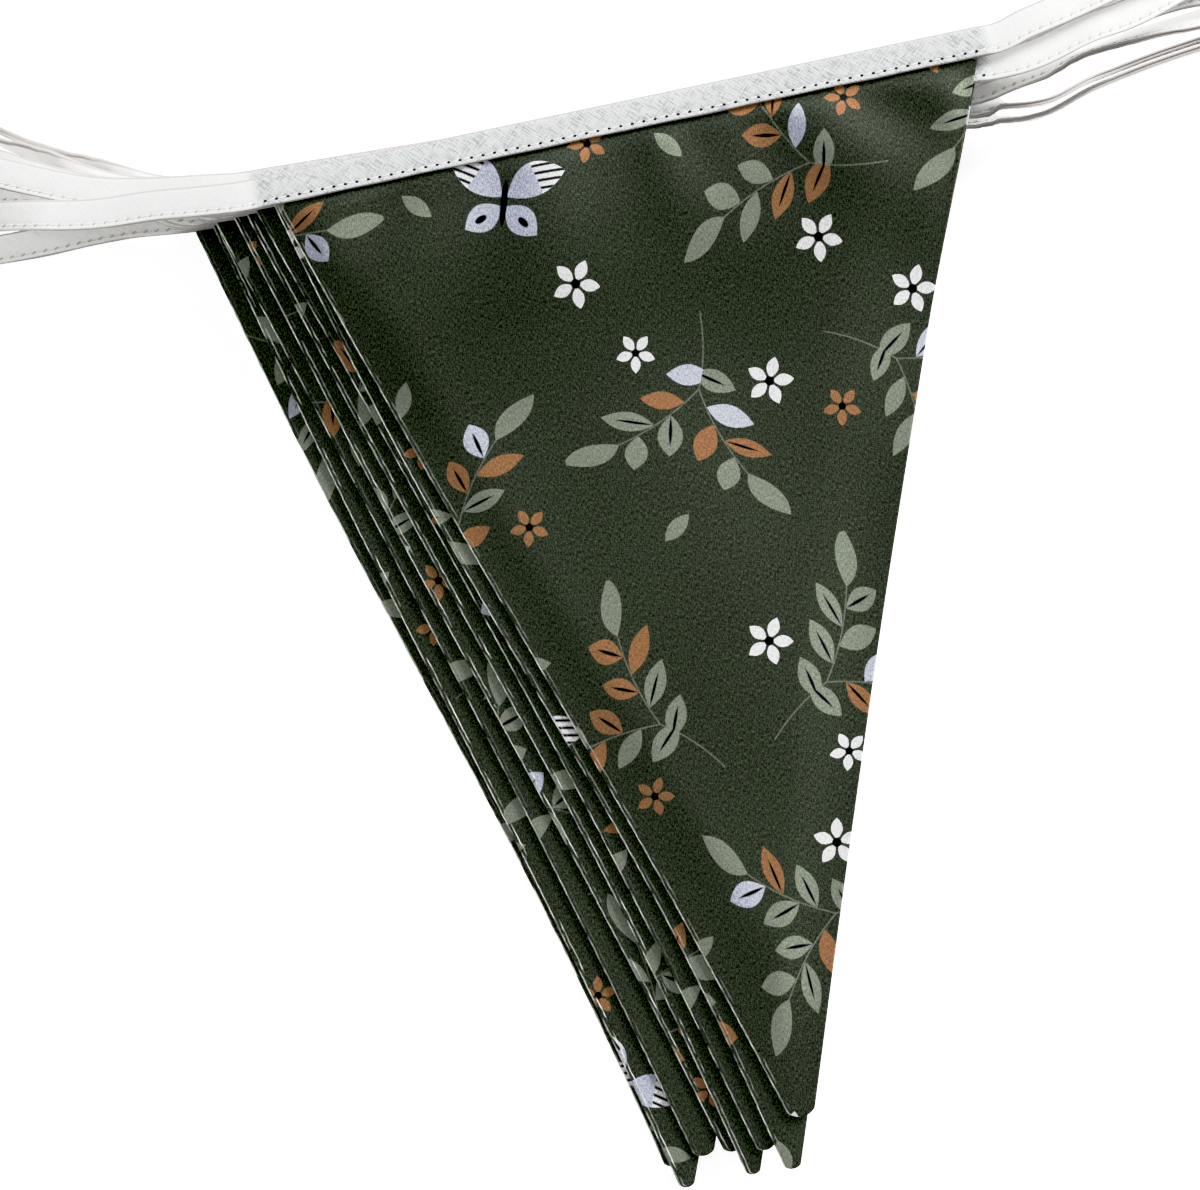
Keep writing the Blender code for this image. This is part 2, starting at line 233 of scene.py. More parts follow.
class Value:
    """A number in a node tree, on which Python's operators add Math nodes."""

    def __init__(self, nodes: Nodes, socket: bpy.types.NodeSocket) -> None:
        """Wraps a socket."""
        self.nodes = nodes
        self.socket = socket

    __add__ = plus = maths("ADD")
    __sub__ = maths("SUBTRACT")
    __rsub__ = maths("SUBTRACT", swapped=True)
    __mul__ = __rmul__ = maths("MULTIPLY")
    __truediv__ = maths("DIVIDE")
    __lt__ = maths("LESS_THAN")
    __gt__ = maths("GREATER_THAN")
    __abs__ = maths("ABSOLUTE")
    floor = maths("FLOOR")
    modulo = maths("FLOORED_MODULO")
    sine = maths("SINE")
    cosine = maths("COSINE")
    angle_from = maths("ARCTAN2")
    root = maths("SQRT")
    most = maths("MAXIMUM")

    def clamp(self) -> "Value":
        """Self within 0 and 1."""
        return self.plus(0.0, clamp=True)


@dataclass(frozen=True)
class Place:
    """A place on a cloth, as two numbers in millimetres."""

    x: Value
    y: Value

    def moved(self, x: Number, y: Number) -> "Place":
        """The place as seen from another one."""
        return Place(self.x - x, self.y - y)

    def turned(self, angle: Number) -> "Place":
        """The place along axes that are turned by an angle in radians.

        Args:
            angle: A number, or a Value where it varies.

        Returns:
            The turned place.
        """
        if isinstance(angle, Value):
            cosine, sine = angle.cosine(), angle.sine()
        else:
            cosine, sine = math.cos(angle), math.sin(angle)
        return Place(self.x * cosine + self.y * sine, self.y * cosine - self.x * sine)

    def radius(self) -> Value:
        """The distance from the middle."""
        return (self.x * self.x + self.y * self.y).root()

    def ellipse(self, wide: float, high: float) -> Value:
        """The distance from the middle, which is 1 on an ellipse of these two radii."""
        return Place(self.x * (1 / wide), self.y * (1 / high)).radius()

    def noise(self, seed: float, scale: float, detail: float) -> Value:
        """A noise pattern of 0 to 1 over the cloth."""
        nodes = self.x.nodes
        return nodes.noise(nodes.vector(self.x, self.y, seed), scale, detail)

    def threads(self, seed: float, wide: float, high: float) -> Value:
        """A pattern of 0 to 1 like threads, this many of which cross each axis in a millimetre."""
        return Place(self.x * wide, self.y * high).noise(seed, 1.0, 1.0)


@dataclass(frozen=True)
class Palette:
    """The print's colours."""

    ground: Colour = (0.023, 0.028, 0.019)
    ground_worn: Colour = (0.068, 0.084, 0.056)
    sage: Colour = (0.220, 0.243, 0.194)
    rust: Colour = (0.29, 0.155, 0.075)
    lilac: Colour = (0.42, 0.44, 0.51)
    cream: Colour = (0.70, 0.70, 0.71)
    ink: Colour = (0.005, 0.006, 0.009)
    edge_dim: Colour = (0.46, 0.50, 0.42)
    edge_bright: Colour = (0.95, 0.96, 0.92)


@dataclass(frozen=True)
class Sprig:
    """A stem that forks into two arms, with leaves in turn on both sides and at the ends."""

    root: float = -29.0
    fork: float = -11.0
    spread: float = math.radians(31.0)
    bend: float = 0.009
    pitch: float = 8.9
    leaves: int = 3
    inner_start: int = 1
    lean: float = math.radians(48.0)
    leaf_root: float = 0.47
    leaf_gap: float = 0.2
    leaf_length: float = 9.6
    leaf_width: float = 4.4
    longer: float = 1.6
    wider: float = 1.1
    rib_start: float = 0.3
    rib_share: float = 0.72
    rib_width: float = 0.75
    stem_width: float = 0.36
    stem_strength: float = 0.6
    trunk_bow: float = 0.012
    last_leaf: float = 0.35
    end_leaf: float = 12.5
    end_width: float = 5.8
    end_overlap: float = 0.8
    rust_above: float = 0.66
    lilac_above: float = 0.93
    ribbed_above: float = 0.45


@dataclass(frozen=True)
class Moth:
    """A plain moth: two pairs of wings, the upper ones with pale hatched tips."""

    x: float = 2.0
    y: float = 1.0
    root_x: float = 0.6
    upper_root: float = 1.2
    upper_turn: float = math.radians(30.0)
    upper_length: float = 15.0
    upper_width: float = 8.0
    arch: float = 0.018
    lower_root: float = -1.0
    lower_turn: float = math.radians(-38.0)
    lower_length: float = 10.0
    lower_width: float = 6.6
    tip_start: float = 8.0
    tip_softness: float = 0.7
    hatch_across: float = 3.4
    hatch_slant: float = 0.9
    hatch_gap: float = 0.35
    hatch_softness: float = 0.2
    spot_place: float = 5.6
    spot_size: tuple[float, float] = (1.5, 0.8)
    body_place: float = -0.3
    body_size: tuple[float, float] = (0.8, 5.4)
    pattern: tuple[float, float] = (2.0, 3.0)
    every: float = 7.0


@dataclass(frozen=True)
class Motif:
    """Where a loose motif lies beside each sprig, its turn in radians and its length."""

    x: float
    y: float
    turn: float
    length: float


@dataclass(frozen=True)
class Blossom:
    """A blossom's proportions, as shares of its petals' reach."""

    petals: int = 5
    start: float = 0.14
    length: float = 0.9
    width: float = 0.5
    eye: float = 0.2


@dataclass(frozen=True)
class EdgeWear:
    """The pale lines along a flag's left edge: the rim, and the seam beside it."""

    dash_scale: float = 0.13
    fleck_scale: float = 0.34
    wander: float = 0.7
    rim: float = 0.16
    rim_width: float = 0.16
    rim_level: float = 1.7
    seam: float = 1.1
    seam_width: float = 0.13
    seam_level: float = 1.6
    contrast: float = 7.0
    rim_above: float = 2.75
    seam_below: float = 3.9
    bright_above: float = 2.9


@dataclass(frozen=True)
class PrintedCotton:
    """Dark quilting cotton with a tossed print of sprigs, moths, blossoms and loose leaves."""

    colours: Palette = Palette()
    sprig: Sprig = Sprig()
    moth: Moth = Moth()
    blossom: Blossom = Blossom()
    wear: EdgeWear = EdgeWear()
    large_blossom: Motif = Motif(-16.5, -16.0, 0.0, 5.6)
    small_blossom: Motif = Motif(-16.0, 16.5, 0.4, 4.6)
    loose_leaf: Motif = Motif(18.5, -4.0, 0.5, 8.6)
    loose_width: float = 3.8
    large_below: float = 0.7
    small_rust_above: float = 0.3
    cell: float = 60.0
    crispness: float = 5.0
    thin: float = 4.2
    long: float = 1.2
    lengthwise_share: float = 0.6
    cloud_scale: float = 0.025
    cloudiness: float = 0.3
    worn_above: float = 0.40
    worn_contrast: float = 4.0
    streaks: float = 2.15
    feel: Feel = Feel(0.00016, 0.7, roughness=0.62, sheen=0.05, specular=0.2)

    def mask(self, depth: Value) -> Value:
        """One inside a shape and nought outside, from the depth inside its edge."""
        return (depth * self.crispness).plus(0.5, clamp=True)

    def lens(self, place: Place, length: Number, width: Number) -> Value:
        """The depth inside a leaf that starts at a place and runs along its x axis.

        Args:
            place: The place, seen from the leaf's base.
            length: The leaf's length.
            width: Its width at the middle.

        Returns:
            The depth, which is negative outside the leaf.
        """
        share = place.x / length
        return share * (1.0 - share) * (2.0 * width) - abs(place.y)

    def grid(self, place: Place) -> tuple[Place, Value, Value]:
        """Divides the cloth into staggered squares.

        Args:
            place: A place on the cloth.

        Returns:
            The place as seen from its square's middle, and the square's column and row.
        """
        row = (place.y / self.cell).floor()
        shifted = place.x + row * (0.5 * self.cell)
        column = (shifted / self.cell).floor()
        inside = Place(
            shifted - (column + 0.5) * self.cell,
            place.y - (row + 0.5) * self.cell,
        )
        return inside, column, row

    def chance(self, x: Value, y: Number, z: Number) -> list[Value]:
        """Three numbers of 0 to 1 that look random, the same for the same place."""
        nodes = x.nodes
        spot = nodes.vector(x, y, z)
        colour = nodes.add("ShaderNodeTexWhiteNoise", {"noise_dimensions": "3D"}, {0: spot})
        parts = nodes.add("ShaderNodeSeparateColor", None, {0: colour.outputs["Color"]})
        return [Value(nodes, parts.outputs[channel]) for channel in range(3)]

    def leaves(self, cloth: Value, place: Place, seed: Value) -> Value:
        """Prints one sprig over the cloth.

        Args:
            cloth: The colour so far.
            place: A place, seen from the sprig's middle.
            seed: A number that differs from sprig to sprig.

        Returns:
            The colour with the sprig on it.
        """
        sprig, colours, mix = self.sprig, self.colours, cloth.nodes.mix
        arm = Place(place.x, abs(place.y)).moved(sprig.fork, 0.0).turned(sprig.spread)
        off = arm.y - (arm.x * arm.x) * sprig.bend
        outer = off > 0.0
        shifted = arm.x + outer * (0.5 * sprig.pitch)
        number = (shifted / sprig.pitch).floor()
        inside = shifted - (number + 0.5) * sprig.pitch
        half = place.y > 0.0
        pick, midrib, size = self.chance(number + half * 11.0, outer * 7.0, seed)
        base = Place(inside + sprig.leaf_root * sprig.pitch, abs(off) - sprig.leaf_gap)
        leaf = base.turned(sprig.lean)
        first = sprig.inner_start - outer * sprig.inner_start
        grown = (number > first - 0.5) * (number < sprig.leaves - 0.5)
        length = size * sprig.longer + sprig.leaf_length
        width = size * sprig.wider + sprig.leaf_width
        shape = self.mask(self.lens(leaf, length, width)) * grown
        tint = mix(pick > sprig.rust_above, colours.sage, colours.rust)
        tint = mix(pick > sprig.lilac_above, tint, colours.lilac)
        rib_place = Place(leaf.x - sprig.rib_start, leaf.y)
        rib = self.lens(rib_place, length * sprig.rib_share, sprig.rib_width)
        ribbed = self.mask(rib) * (midrib > sprig.ribbed_above)
        reach = (sprig.leaves - sprig.last_leaf) * sprig.pitch
        stem = self.mask(0.5 * sprig.stem_width - abs(off)) * (arm.x > 0.0) * (arm.x < reach)
        before = place.x - sprig.fork
        bow = place.y - before * before * sprig.trunk_bow
        trunk = self.mask(0.5 * sprig.stem_width - abs(bow))
        trunk = trunk * (place.x > sprig.root) * (place.x < sprig.fork)
        cloth = mix(stem.most(trunk) * sprig.stem_strength, cloth, colours.sage)
        cloth = mix(shape, cloth, mix(ribbed, tint, colours.ink))
        tip = Place(arm.x - reach + sprig.end_overlap, off)
        end_leaf = self.mask(self.lens(tip, sprig.end_leaf, sprig.end_width))
        return mix(end_leaf, cloth, colours.sage)

    def moths(self, cloth: Value, place: Place) -> Value:
        """Prints a plain moth with two pairs of wings.

        Args:
            cloth: The colour so far.
            place: A place, seen from the moth's middle.

        Returns:
            The colour with the moth on it.
        """
        colours, moth, mix = self.colours, self.moth, cloth.nodes.mix
        half = Place(abs(place.x), place.y)
        upper = half.moved(moth.root_x, moth.upper_root).turned(moth.upper_turn)
        lower = half.moved(moth.root_x, moth.lower_root).turned(moth.lower_turn)
        rise = upper.x * (upper.x - moth.upper_length) * moth.arch
        arched = Place(upper.x, upper.y + rise)
        upper_wing = self.mask(self.lens(arched, moth.upper_length, moth.upper_width))
        wings = upper_wing.most(self.mask(self.lens(lower, moth.lower_length, moth.lower_width)))
        tip = upper_wing * self.mask((upper.x - moth.tip_start) * moth.tip_softness)
        lines = (upper.y * moth.hatch_across + upper.x * moth.hatch_slant).sine()
        hatch = tip * self.mask((lines - moth.hatch_gap) * moth.hatch_softness)
        spot = self.mask(1.0 - lower.moved(moth.spot_place, 0.0).ellipse(*moth.spot_size))
        wing = mix(tip, mix(spot, colours.lilac, colours.ink), colours.cream)
        wing = mix(hatch, wing, colours.ink)
        body = self.mask(1.0 - place.moved(0.0, moth.body_place).ellipse(*moth.body_size))
        cloth = mix(wings, cloth, wing)
        return mix(body, cloth, colours.ink)

    def seen_from(self, place: Place, motif: Motif) -> Place:
        """A place as seen from a loose motif."""
        seen = place.moved(motif.x, motif.y)
        return seen.turned(motif.turn) if motif.turn else seen

    def blossoms(self, cloth: Value, place: Place, reach: float, colour: object,
                 shown: Number = 1.0) -> Value:
        """Prints a blossom of petals round a dark eye.

        Args:
            cloth: The colour so far.
            place: A place, seen from the blossom's middle.
            reach: The petals' length.
            colour: The petals' colour.
            shown: One where there is a blossom, and nought where there is none.

        Returns:
            The colour with the blossom on it.
        """
        shape, mix = self.blossom, cloth.nodes.mix
        sector = math.tau / shape.petals
        angle = place.y.angle_from(place.x).modulo(sector) - sector / 2
        radius = place.radius()
        petal = Place(radius * angle.cosine() - shape.start * reach, radius * angle.sine())
        petals = self.mask(self.lens(petal, shape.length * reach, shape.width * reach)) * shown
        cloth = mix(petals, cloth, colour)
        eye = self.mask(shape.eye * reach - radius) * shown
        return mix(eye, cloth, self.colours.ink)

    def loose(self, cloth: Value, place: Place, spare: Value) -> Value:
        """Prints what lies beside each sprig: a blossom, a loose leaf or a smaller blossom.

        Args:
            cloth: The colour so far.
            place: A place, seen from the sprig's middle.
            spare: A number of 0 to 1 that picks the colours.

        Returns:
            The colour with the loose motifs on it.
        """
        colours, leaf, mix = self.colours, self.loose_leaf, cloth.nodes.mix
        large, small = self.large_blossom, self.small_blossom
        seen = self.seen_from(place, large)
        shown = spare < self.large_below
        cloth = self.blossoms(cloth, seen, large.length, colours.cream, shown)
        lens = self.lens(self.seen_from(place, leaf), leaf.length, self.loose_width)
        cloth = mix(self.mask(lens), cloth, colours.sage)
        tint = mix(spare > self.small_rust_above, colours.cream, colours.rust)
        return self.blossoms(cloth, self.seen_from(place, small), small.length, tint)

    def printed(self, ground: Value, cloth: Place) -> Value:
        """Prints the whole pattern.

        Args:
            ground: The ground's colour.
            cloth: A place on the cloth.

        Returns:
            The printed colour.
        """
        inside, column, row = self.grid(cloth)
        spin, flip, spare = self.chance(column, row, 3.0)
        place = inside.turned(spin * math.tau)
        place = Place(place.x, place.y * ((flip > 0.5) * 2.0 - 1.0))
        sprigs = self.leaves(ground, place, column * 3.0 + row * 5.0)
        moth = self.moth
        moths = self.moths(ground, place.moved(moth.x, moth.y))
        turn = (column * moth.pattern[0] + row * moth.pattern[1]).modulo(moth.every)
        tossed = ground.nodes.mix(turn < 0.5, sprigs, moths)
        return self.loose(tossed, place, spare)

    def material(self) -> bpy.types.Material:
        """Makes the material, which reads the print's UV map in metres.

        Returns:
            The material.
        """
        made, nodes, shader = blank_material("printed_cotton")
        cloth = nodes.cloth("print")
        lengthwise = cloth.threads(0.0, self.thin, self.long)
        crosswise = cloth.threads(9.0, self.long, self.thin)
        heather = lengthwise * self.lengthwise_share + crosswise * (1.0 - self.lengthwise_share)
        clouds = (cloth.noise(4.0, self.cloud_scale, 2.0) - 0.5) * self.cloudiness
        worn = ((heather - self.worn_above) * self.worn_contrast + clouds).clamp()
        ground = nodes.mix(worn, self.colours.ground, self.colours.ground_worn)
        shade = (heather - 0.5) * self.streaks + 1.0
        settings = {"data_type": "RGBA", "blend_type": "MULTIPLY"}
        print_colour, threads = self.printed(ground, cloth), nodes.vector(shade, shade, shade)
        inputs = {"Factor": 1.0, 6: print_colour, 7: threads}
        colour = nodes.value("ShaderNodeMix", 2, settings, inputs)
        self.feel.give(shader, self.edge_light(colour, cloth), heather)
        return made

    def edge_light(self, colour: Value, cloth: Place) -> Value:
        """Wears the print off the turned edge, and off the seam beside it.

        Args:
            colour: The printed colour.
            cloth: A place on the cloth.

        Returns:
            The colour with pale lines where the white cotton shows through.
        """
        wear, colours, nodes = self.wear, self.colours, colour.nodes
        dashes = cloth.noise(2.0, wear.dash_scale, 5.0)
        fleck = cloth.noise(6.0, wear.fleck_scale, 3.0)
        edge = nodes.attribute("edge") + (fleck - 0.5) * wear.wander
        rim = (wear.rim_level - abs(edge - wear.rim) / wear.rim_width).clamp()
        rim = rim * (dashes * wear.contrast - wear.rim_above).clamp()
        line = (wear.seam_level - abs(edge - wear.seam) / wear.seam_width).clamp()
        line = line * nodes.attribute("seam")
        line = line * (dashes * -wear.contrast + wear.seam_below).clamp()
        bright = (fleck * wear.contrast - wear.bright_above).clamp()
        pale = nodes.mix(bright, colours.edge_dim, colours.edge_bright)
        return nodes.mix(rim.most(line), colour, pale)


@dataclass(frozen=True)
class BindingCotton:
    """White bias-cut cotton, whose threads cross the tape at a slant, with shade painted along its
    fold and its sewn edge.
    """

    colour: Colour = (0.925, 0.925, 0.912)
    over_flag: Colour = (0.68, 0.69, 0.69)
    shadow: Colour = (0.34, 0.36, 0.37)
    # Painted shade: a darker tint along the tape's fold and its sewn edge, where the rounded edges
    # turn from the light.
    crease_shade: Colour = (0.36, 0.33, 0.315)
    thread_width: float = 3.4
    thread_length: float = 0.3
    bias: float = math.radians(45.0)
    warp: float = 5.0
    weft: float = 3.6
    ground: float = 0.2
    patch_scale: float = 0.2
    patch_contrast: float = 3.0
    patch_above: float = 0.6
    fine_scale: float = 2.6
    fine_above: float = 0.45
    fine_strength: float = 0.9
    free_grey: float = 0.12
    bound_grey: float = 0.85
    # How far the painted shade reaches in from the fold and out past the sewn edge, in
    # millimetres, and how hard its edge is.
    fold_shade_reach: float = 1.2
    fold_shade_softness: float = 3.2
    edge_shade_start: float = 7.35
    edge_shade_softness: float = 4.0
    crease_shade_strength: float = 0.8
    feel: Feel = Feel(0.00016, 0.8, roughness=0.88, sheen=0.1, specular=0.25)

    def material(self) -> bpy.types.Material:
        """Makes the material, which reads the tape's UV map in metres.

        Returns:
            The material.
        """
        made, nodes, shader = blank_material("binding_cotton")
        place = nodes.cloth("weave")
        slant = place.turned(self.bias)
        warp = slant.threads(0.0, self.thread_width, self.thread_length)
        weft = slant.threads(5.0, self.thread_length, self.thread_width)
        patchy = place.noise(5.0, self.patch_scale, 2.0)
        fine = place.noise(7.0, self.fine_scale, 2.0)
        cross = ((0.5 - warp) * self.warp + (0.5 - weft) * self.weft + self.ground).clamp()
        cross = cross * (patchy * self.patch_contrast - self.patch_above).clamp()
        bound = nodes.attribute("bound")
        grey = (cross + (fine - self.fine_above) * self.fine_strength).clamp()
        grey = grey * (bound * self.bound_grey + self.free_grey)
        base = nodes.mix(bound, self.colour, self.over_flag)
        around = abs(place.y)
        # Painted shade along the fold and the sewn edge, in place of the rounded edges turning
        # from the light.
        fold = ((self.fold_shade_reach - around) * self.fold_shade_softness).clamp()
        fold = fold.most(((around - self.edge_shade_start) * self.edge_shade_softness).clamp())
        colour = nodes.mix(grey, base, self.shadow)
        colour = nodes.mix(fold * self.crease_shade_strength, colour, self.crease_shade)
        self.feel.give(shader, colour, (warp + weft) * 0.5 + fine * 0.5)
        return made


@dataclass(frozen=True)
class PlainFinish:
    """One even colour, for thread, needle holes, the grey painted stitch shadows and the surface
    below.
    """

    name: str
    colour: Colour
    roughness: float
    glow: float = 0.0
    grain: float = 900.0
    dark: float = 0.94

    def material(self) -> bpy.types.Material:
        """Makes the material.

        Returns:
            The material.
        """
        made, nodes, shader = blank_material(self.name)
        place = nodes.value("ShaderNodeTexCoord", "Object")
        darker = tuple(self.dark * part for part in self.colour)
        colour = nodes.mix(nodes.noise(place, self.grain), self.colour, darker)
        nodes.tree.links.new(colour.socket, shader.inputs["Base Color"])
        shader.inputs["Roughness"].default_value = self.roughness
        shader.inputs["Emission Strength"].default_value = self.glow
        return made


def blank_material(name: str) -> tuple[bpy.types.Material, Nodes, bpy.types.Node]:
    """Makes a material with nodes.

    Args:
        name: Its name.

    Returns:
        The material, its nodes and its Principled BSDF.
    """
    made = bpy.data.materials.new(name)
    made.use_nodes = True
    return made, Nodes(made.node_tree), made.node_tree.nodes["Principled BSDF"]


@dataclass(frozen=True)
class Cut:
    """One flag: its left corner under the tape, its turn in degrees, and its own handmade cut."""

    x: float
    y: float
    turn: float
    apex: float
    drop: float
    tip: float
    bow: float
    wave: float
    seam: float
    print_x: float
    print_y: float
    print_turn: float


CUTS = (
    Cut(-81.5, 88.0, -2.8, 80.0, 241.0, 3.0, 0.8, -1.3, 0.1, 31.0, 12.0, 0.0),
    Cut(-76.8, 88.0, -3.2, 79.6, 246.0, 2.5, 0.2, -0.9, 0.9, 120.0, 71.0, 1.0),
    Cut(-75.6, 88.0, -2.4, 80.2, 240.0, 3.5, 1.6, -0.2, 0.1, 205.0, 140.0, -1.0),
    Cut(-70.8, 88.0, -1.7, 79.5, 241.0, 3.0, 0.0, -0.8, 0.8, 18.0, 233.0, 0.5),
    Cut(-67.4, 87.5, -1.7, 79.9, 246.5, 2.5, 2.3, -1.1, 0.9, 301.0, 55.0, 0.0),
    Cut(-64.8, 87.5, -1.0, 78.2, 242.0, 3.0, 2.5, -0.4, 0.1, 260.0, 310.0, 1.5),
    Cut(-60.5, 89.4, -2.2, 84.7, 247.5, 3.0, 1.0, -2.4, 0.3, 411.0, 170.0, 0.0),
    Cut(-59.3, 87.0, 0.4, 76.7, 236.5, 4.5, 0.6, -0.7, 0.35, 96.0, 402.0, 0.0),
)


@dataclass(frozen=True)
class Pile:
    """The flags' common cut, and how the layers lie on each other."""

    cuts: tuple[Cut, ...] = CUTS
    width: float = 168.0
    thickness: float = 0.62
    right_bow: float = 1.6
    bound_thickness: float = 0.5
    bound_depth: float = 6.0
    tape_pitch: float = 3.0
    tape_thickness: float = 2.7
    pile_pitch: float = 1.3
    first_settle: float = 14.0
    settle_step: float = 7.0
    ripple_height: float = 1.5
    ripple_length: float = 64.0
    ripple_slant: float = 0.25

    def sewn_height(self, level: int) -> float:
        """The middle height of a flag's top edge, and of its tape."""
        return self.tape_thickness / 2 + self.tape_pitch * level

    def ripple(self, x: float, y: float) -> float:
        """The cloth's soft swell over the pile, from 0 to 1."""
        across = (x + self.ripple_slant * y) / self.ripple_length
        return 0.5 + 0.5 * math.sin(math.tau * across) * math.cos(math.pi * y / self.width)

    def height(self, level: int, x: float, y: float, below: float) -> float:
        """The middle height of a flag.

        Args:
            level: The flag's number, from 0 at the bottom.
            x: The place along the pile.
            y: The place across it.
            below: How far below the tape the place is.

        Returns:
            The height.
        """
        settled = smoothstep(below / (self.first_settle + self.settle_step * level))
        resting = self.thickness / 2 + self.pile_pitch * level
        resting += self.ripple_height * level / (len(self.cuts) - 1) * self.ripple(x, y)
        return self.sewn_height(level) * (1 - settled) + resting * settled

    def edges(self, cut: Cut, below: float) -> tuple[float, float]:
        """How far along the tape a flag's left and right edges are.

        Args:
            cut: The flag.
            below: How far below the tape the places are.

        Returns:
            The left edge and the right edge.
        """
        half_angle = math.atan2(self.width / 2, cut.drop)
        depth = cut.drop + cut.tip * (1 / math.sin(half_angle) - 1)
        share = max(below, 0.0) / depth
        arch, swing = math.sin(math.pi * share), math.sin(math.tau * share)
        left = cut.apex * share + cut.bow * arch + cut.wave * swing
        right = self.width + (cut.apex - self.width) * share - self.right_bow * arch
        centre = cut.drop - cut.tip
        if below > centre:
            half = math.sqrt(max(cut.tip**2 - (below - centre) ** 2, 0.0))
            middle = (left + right) / 2
            left, right = max(left, middle - half), min(right, middle + half)
        return left, right

    def place(self, cut: Cut, along: float, below: float) -> tuple[float, float]:
        """A place on a flag, seen from above."""
        turn = math.radians(cut.turn)
        x = cut.x + along * math.cos(turn) + below * math.sin(turn)
        y = cut.y + along * math.sin(turn) - below * math.cos(turn)
        return x, y


@dataclass
class MeshData:
    """A mesh as it grows, with numbers on its points and a UV map."""

    points: list[Vector] = field(default_factory=list)
    faces: list[tuple[int, ...]] = field(default_factory=list)
    spots: list[tuple[float, float]] = field(default_factory=list)
    numbers: dict[str, list[float]] = field(default_factory=dict)

    def add(self, point: Vector, spot: tuple[float, float], **numbers: float) -> int:
        """Adds a point.

        Args:
            point: Its place, in millimetres.
            spot: Its place on the UV map, in millimetres.
            numbers: Its other values, by attribute.

        Returns:
            The point's index.
        """
        self.points.append(point * MM)
        self.spots.append((spot[0] * MM, spot[1] * MM))
        for name, number in numbers.items():
            self.numbers.setdefault(name, []).append(number)
        return len(self.points) - 1

    def bridge(self, first: Sequence[int], second: Sequence[int], closed: bool = False) -> None:
        """Adds faces between two rows of points.

        Args:
            first: One row.
            second: The next one.
            closed: Whether the rows are rings.
        """
        count = len(first) if closed else len(first) - 1
        for place in range(count):
            after = (place + 1) % len(first)
            corners = (first[place], first[after], second[after], second[place])
            self.faces.append(tuple(dict.fromkeys(corners)))

    def piece(self, name: str, uv_map: str, material: bpy.types.Material) -> bpy.types.Object:
        """Makes an object of the mesh.

        Args:
            name: The object's name.
            uv_map: The UV map's name.
            material: Its material.

        Returns:
            The object.
        """
        mesh = bpy.data.meshes.new(name)
        mesh.from_pydata(self.points, [], self.faces)
        corners = np.zeros(len(mesh.loops), dtype=np.int32)
        mesh.loops.foreach_get("vertex_index", corners)
        spots = np.array(self.spots, dtype=np.float32)[corners]
        mesh.uv_layers.new(name=uv_map).data.foreach_set("uv", spots.ravel())
        for attribute, numbers in self.numbers.items():
            made = mesh.attributes.new(attribute, "FLOAT", "POINT")
            made.data.foreach_set("value", np.array(numbers, dtype=np.float32))
        mesh.materials.append(material)
        mesh.shade_smooth()
        return added(name, mesh)


@dataclass(frozen=True)
class Pucker:
    """A soft ridge that the binding's seam draws up in the top flag, below the tape."""

    along: float
    width: float
    height: float
    length: float


PUCKERS = (
    Pucker(19.0, 6.0, 3.6, 34.0),
    Pucker(40.0, 4.0, 1.7, 20.0),
    Pucker(66.0, 6.5, 4.8, 38.0),
    Pucker(79.0, 3.0, 1.0, 20.0),
    Pucker(90.0, 4.4, 3.1, 28.0),
    Pucker(104.0, 3.6, 1.6, 20.0),
    Pucker(123.0, 7.0, 4.8, 42.0),
    Pucker(149.0, 6.0, 3.1, 30.0),
)


@dataclass(frozen=True)
class Swell:
    """The top flag's own form: a low dome, a dip below the tape, puckers and a curled edge.

    Each pair is a length at one end of the flag, and what it gains by the other end.
    """

    dome: float = 3.1
    dome_rise: float = 35.0
    left_rise: tuple[float, float] = (11.0, 9.0)
    right_start: tuple[float, float] = (3.0, 4.0)
    right_fall: tuple[float, float] = (10.0, 12.0)
    right_low: float = 0.25
    curl: float = 0.5
    curl_width: float = 4.5
    curl_rise: float = 20.0
    dip: float = 1.4
    dip_rise: float = 5.0
    dip_end: float = 6.0
    dip_fall: float = 14.0
    dip_tilt: float = 0.7
    fan: float = 55.0
    calm_edge: float = 6.0
    calm_top: float = 4.0
    pucker_start: float = 5.0
    puckers: tuple[Pucker, ...] = PUCKERS

    def height(self, along: float, below: float, sides: tuple[float, float],
               size: tuple[float, float]) -> float:
        """How far the cloth stands up from the pile.

        Args:
            along: The place along the tape, from the flag's left corner.
            below: The distance below the tape's lower edge.
            sides: The distances from the left edge and from the right edge.
            size: The flag's width and its drop.

        Returns:
            The height to add.
        """
        (left, right), (width, drop) = sides, size
        share = below / drop
        rise = smoothstep(left / (self.left_rise[0] + self.left_rise[1] * share))
        fall_start = self.right_start[0] + self.right_start[1] * (1.0 - share)
        fall_width = self.right_fall[0] + self.right_fall[1] * (1.0 - share)
        fall = smoothstep((right - fall_start) / fall_width)
        fallen = self.right_low + (1.0 - self.right_low) * fall
        height = smoothstep(below / self.dome_rise) * (self.dome * rise * fallen)
        curled = (1.0 - min(right / self.curl_width, 1.0)) ** 2
        height += self.curl * curled * smoothstep(below / self.curl_rise)
        sunken = 1.0 - smoothstep((below - self.dip_end) / self.dip_fall)
        sunken *= smoothstep(below / self.dip_rise)
        height -= self.dip * sunken * (1.0 - self.dip_tilt * along / width)
        spread = width / 2 + (along - width / 2) / (1.0 + below / self.fan)
        calm = smoothstep(min(left, right) / self.calm_edge) * smoothstep(below / self.calm_top)
        for pucker in self.puckers:
            gone = smoothstep((below - self.pucker_start) / pucker.length)
            hump = math.exp(-0.5 * ((spread - pucker.along) / pucker.width) ** 2)
            height += pucker.height * hump * calm * (1.0 - gone)
        return height


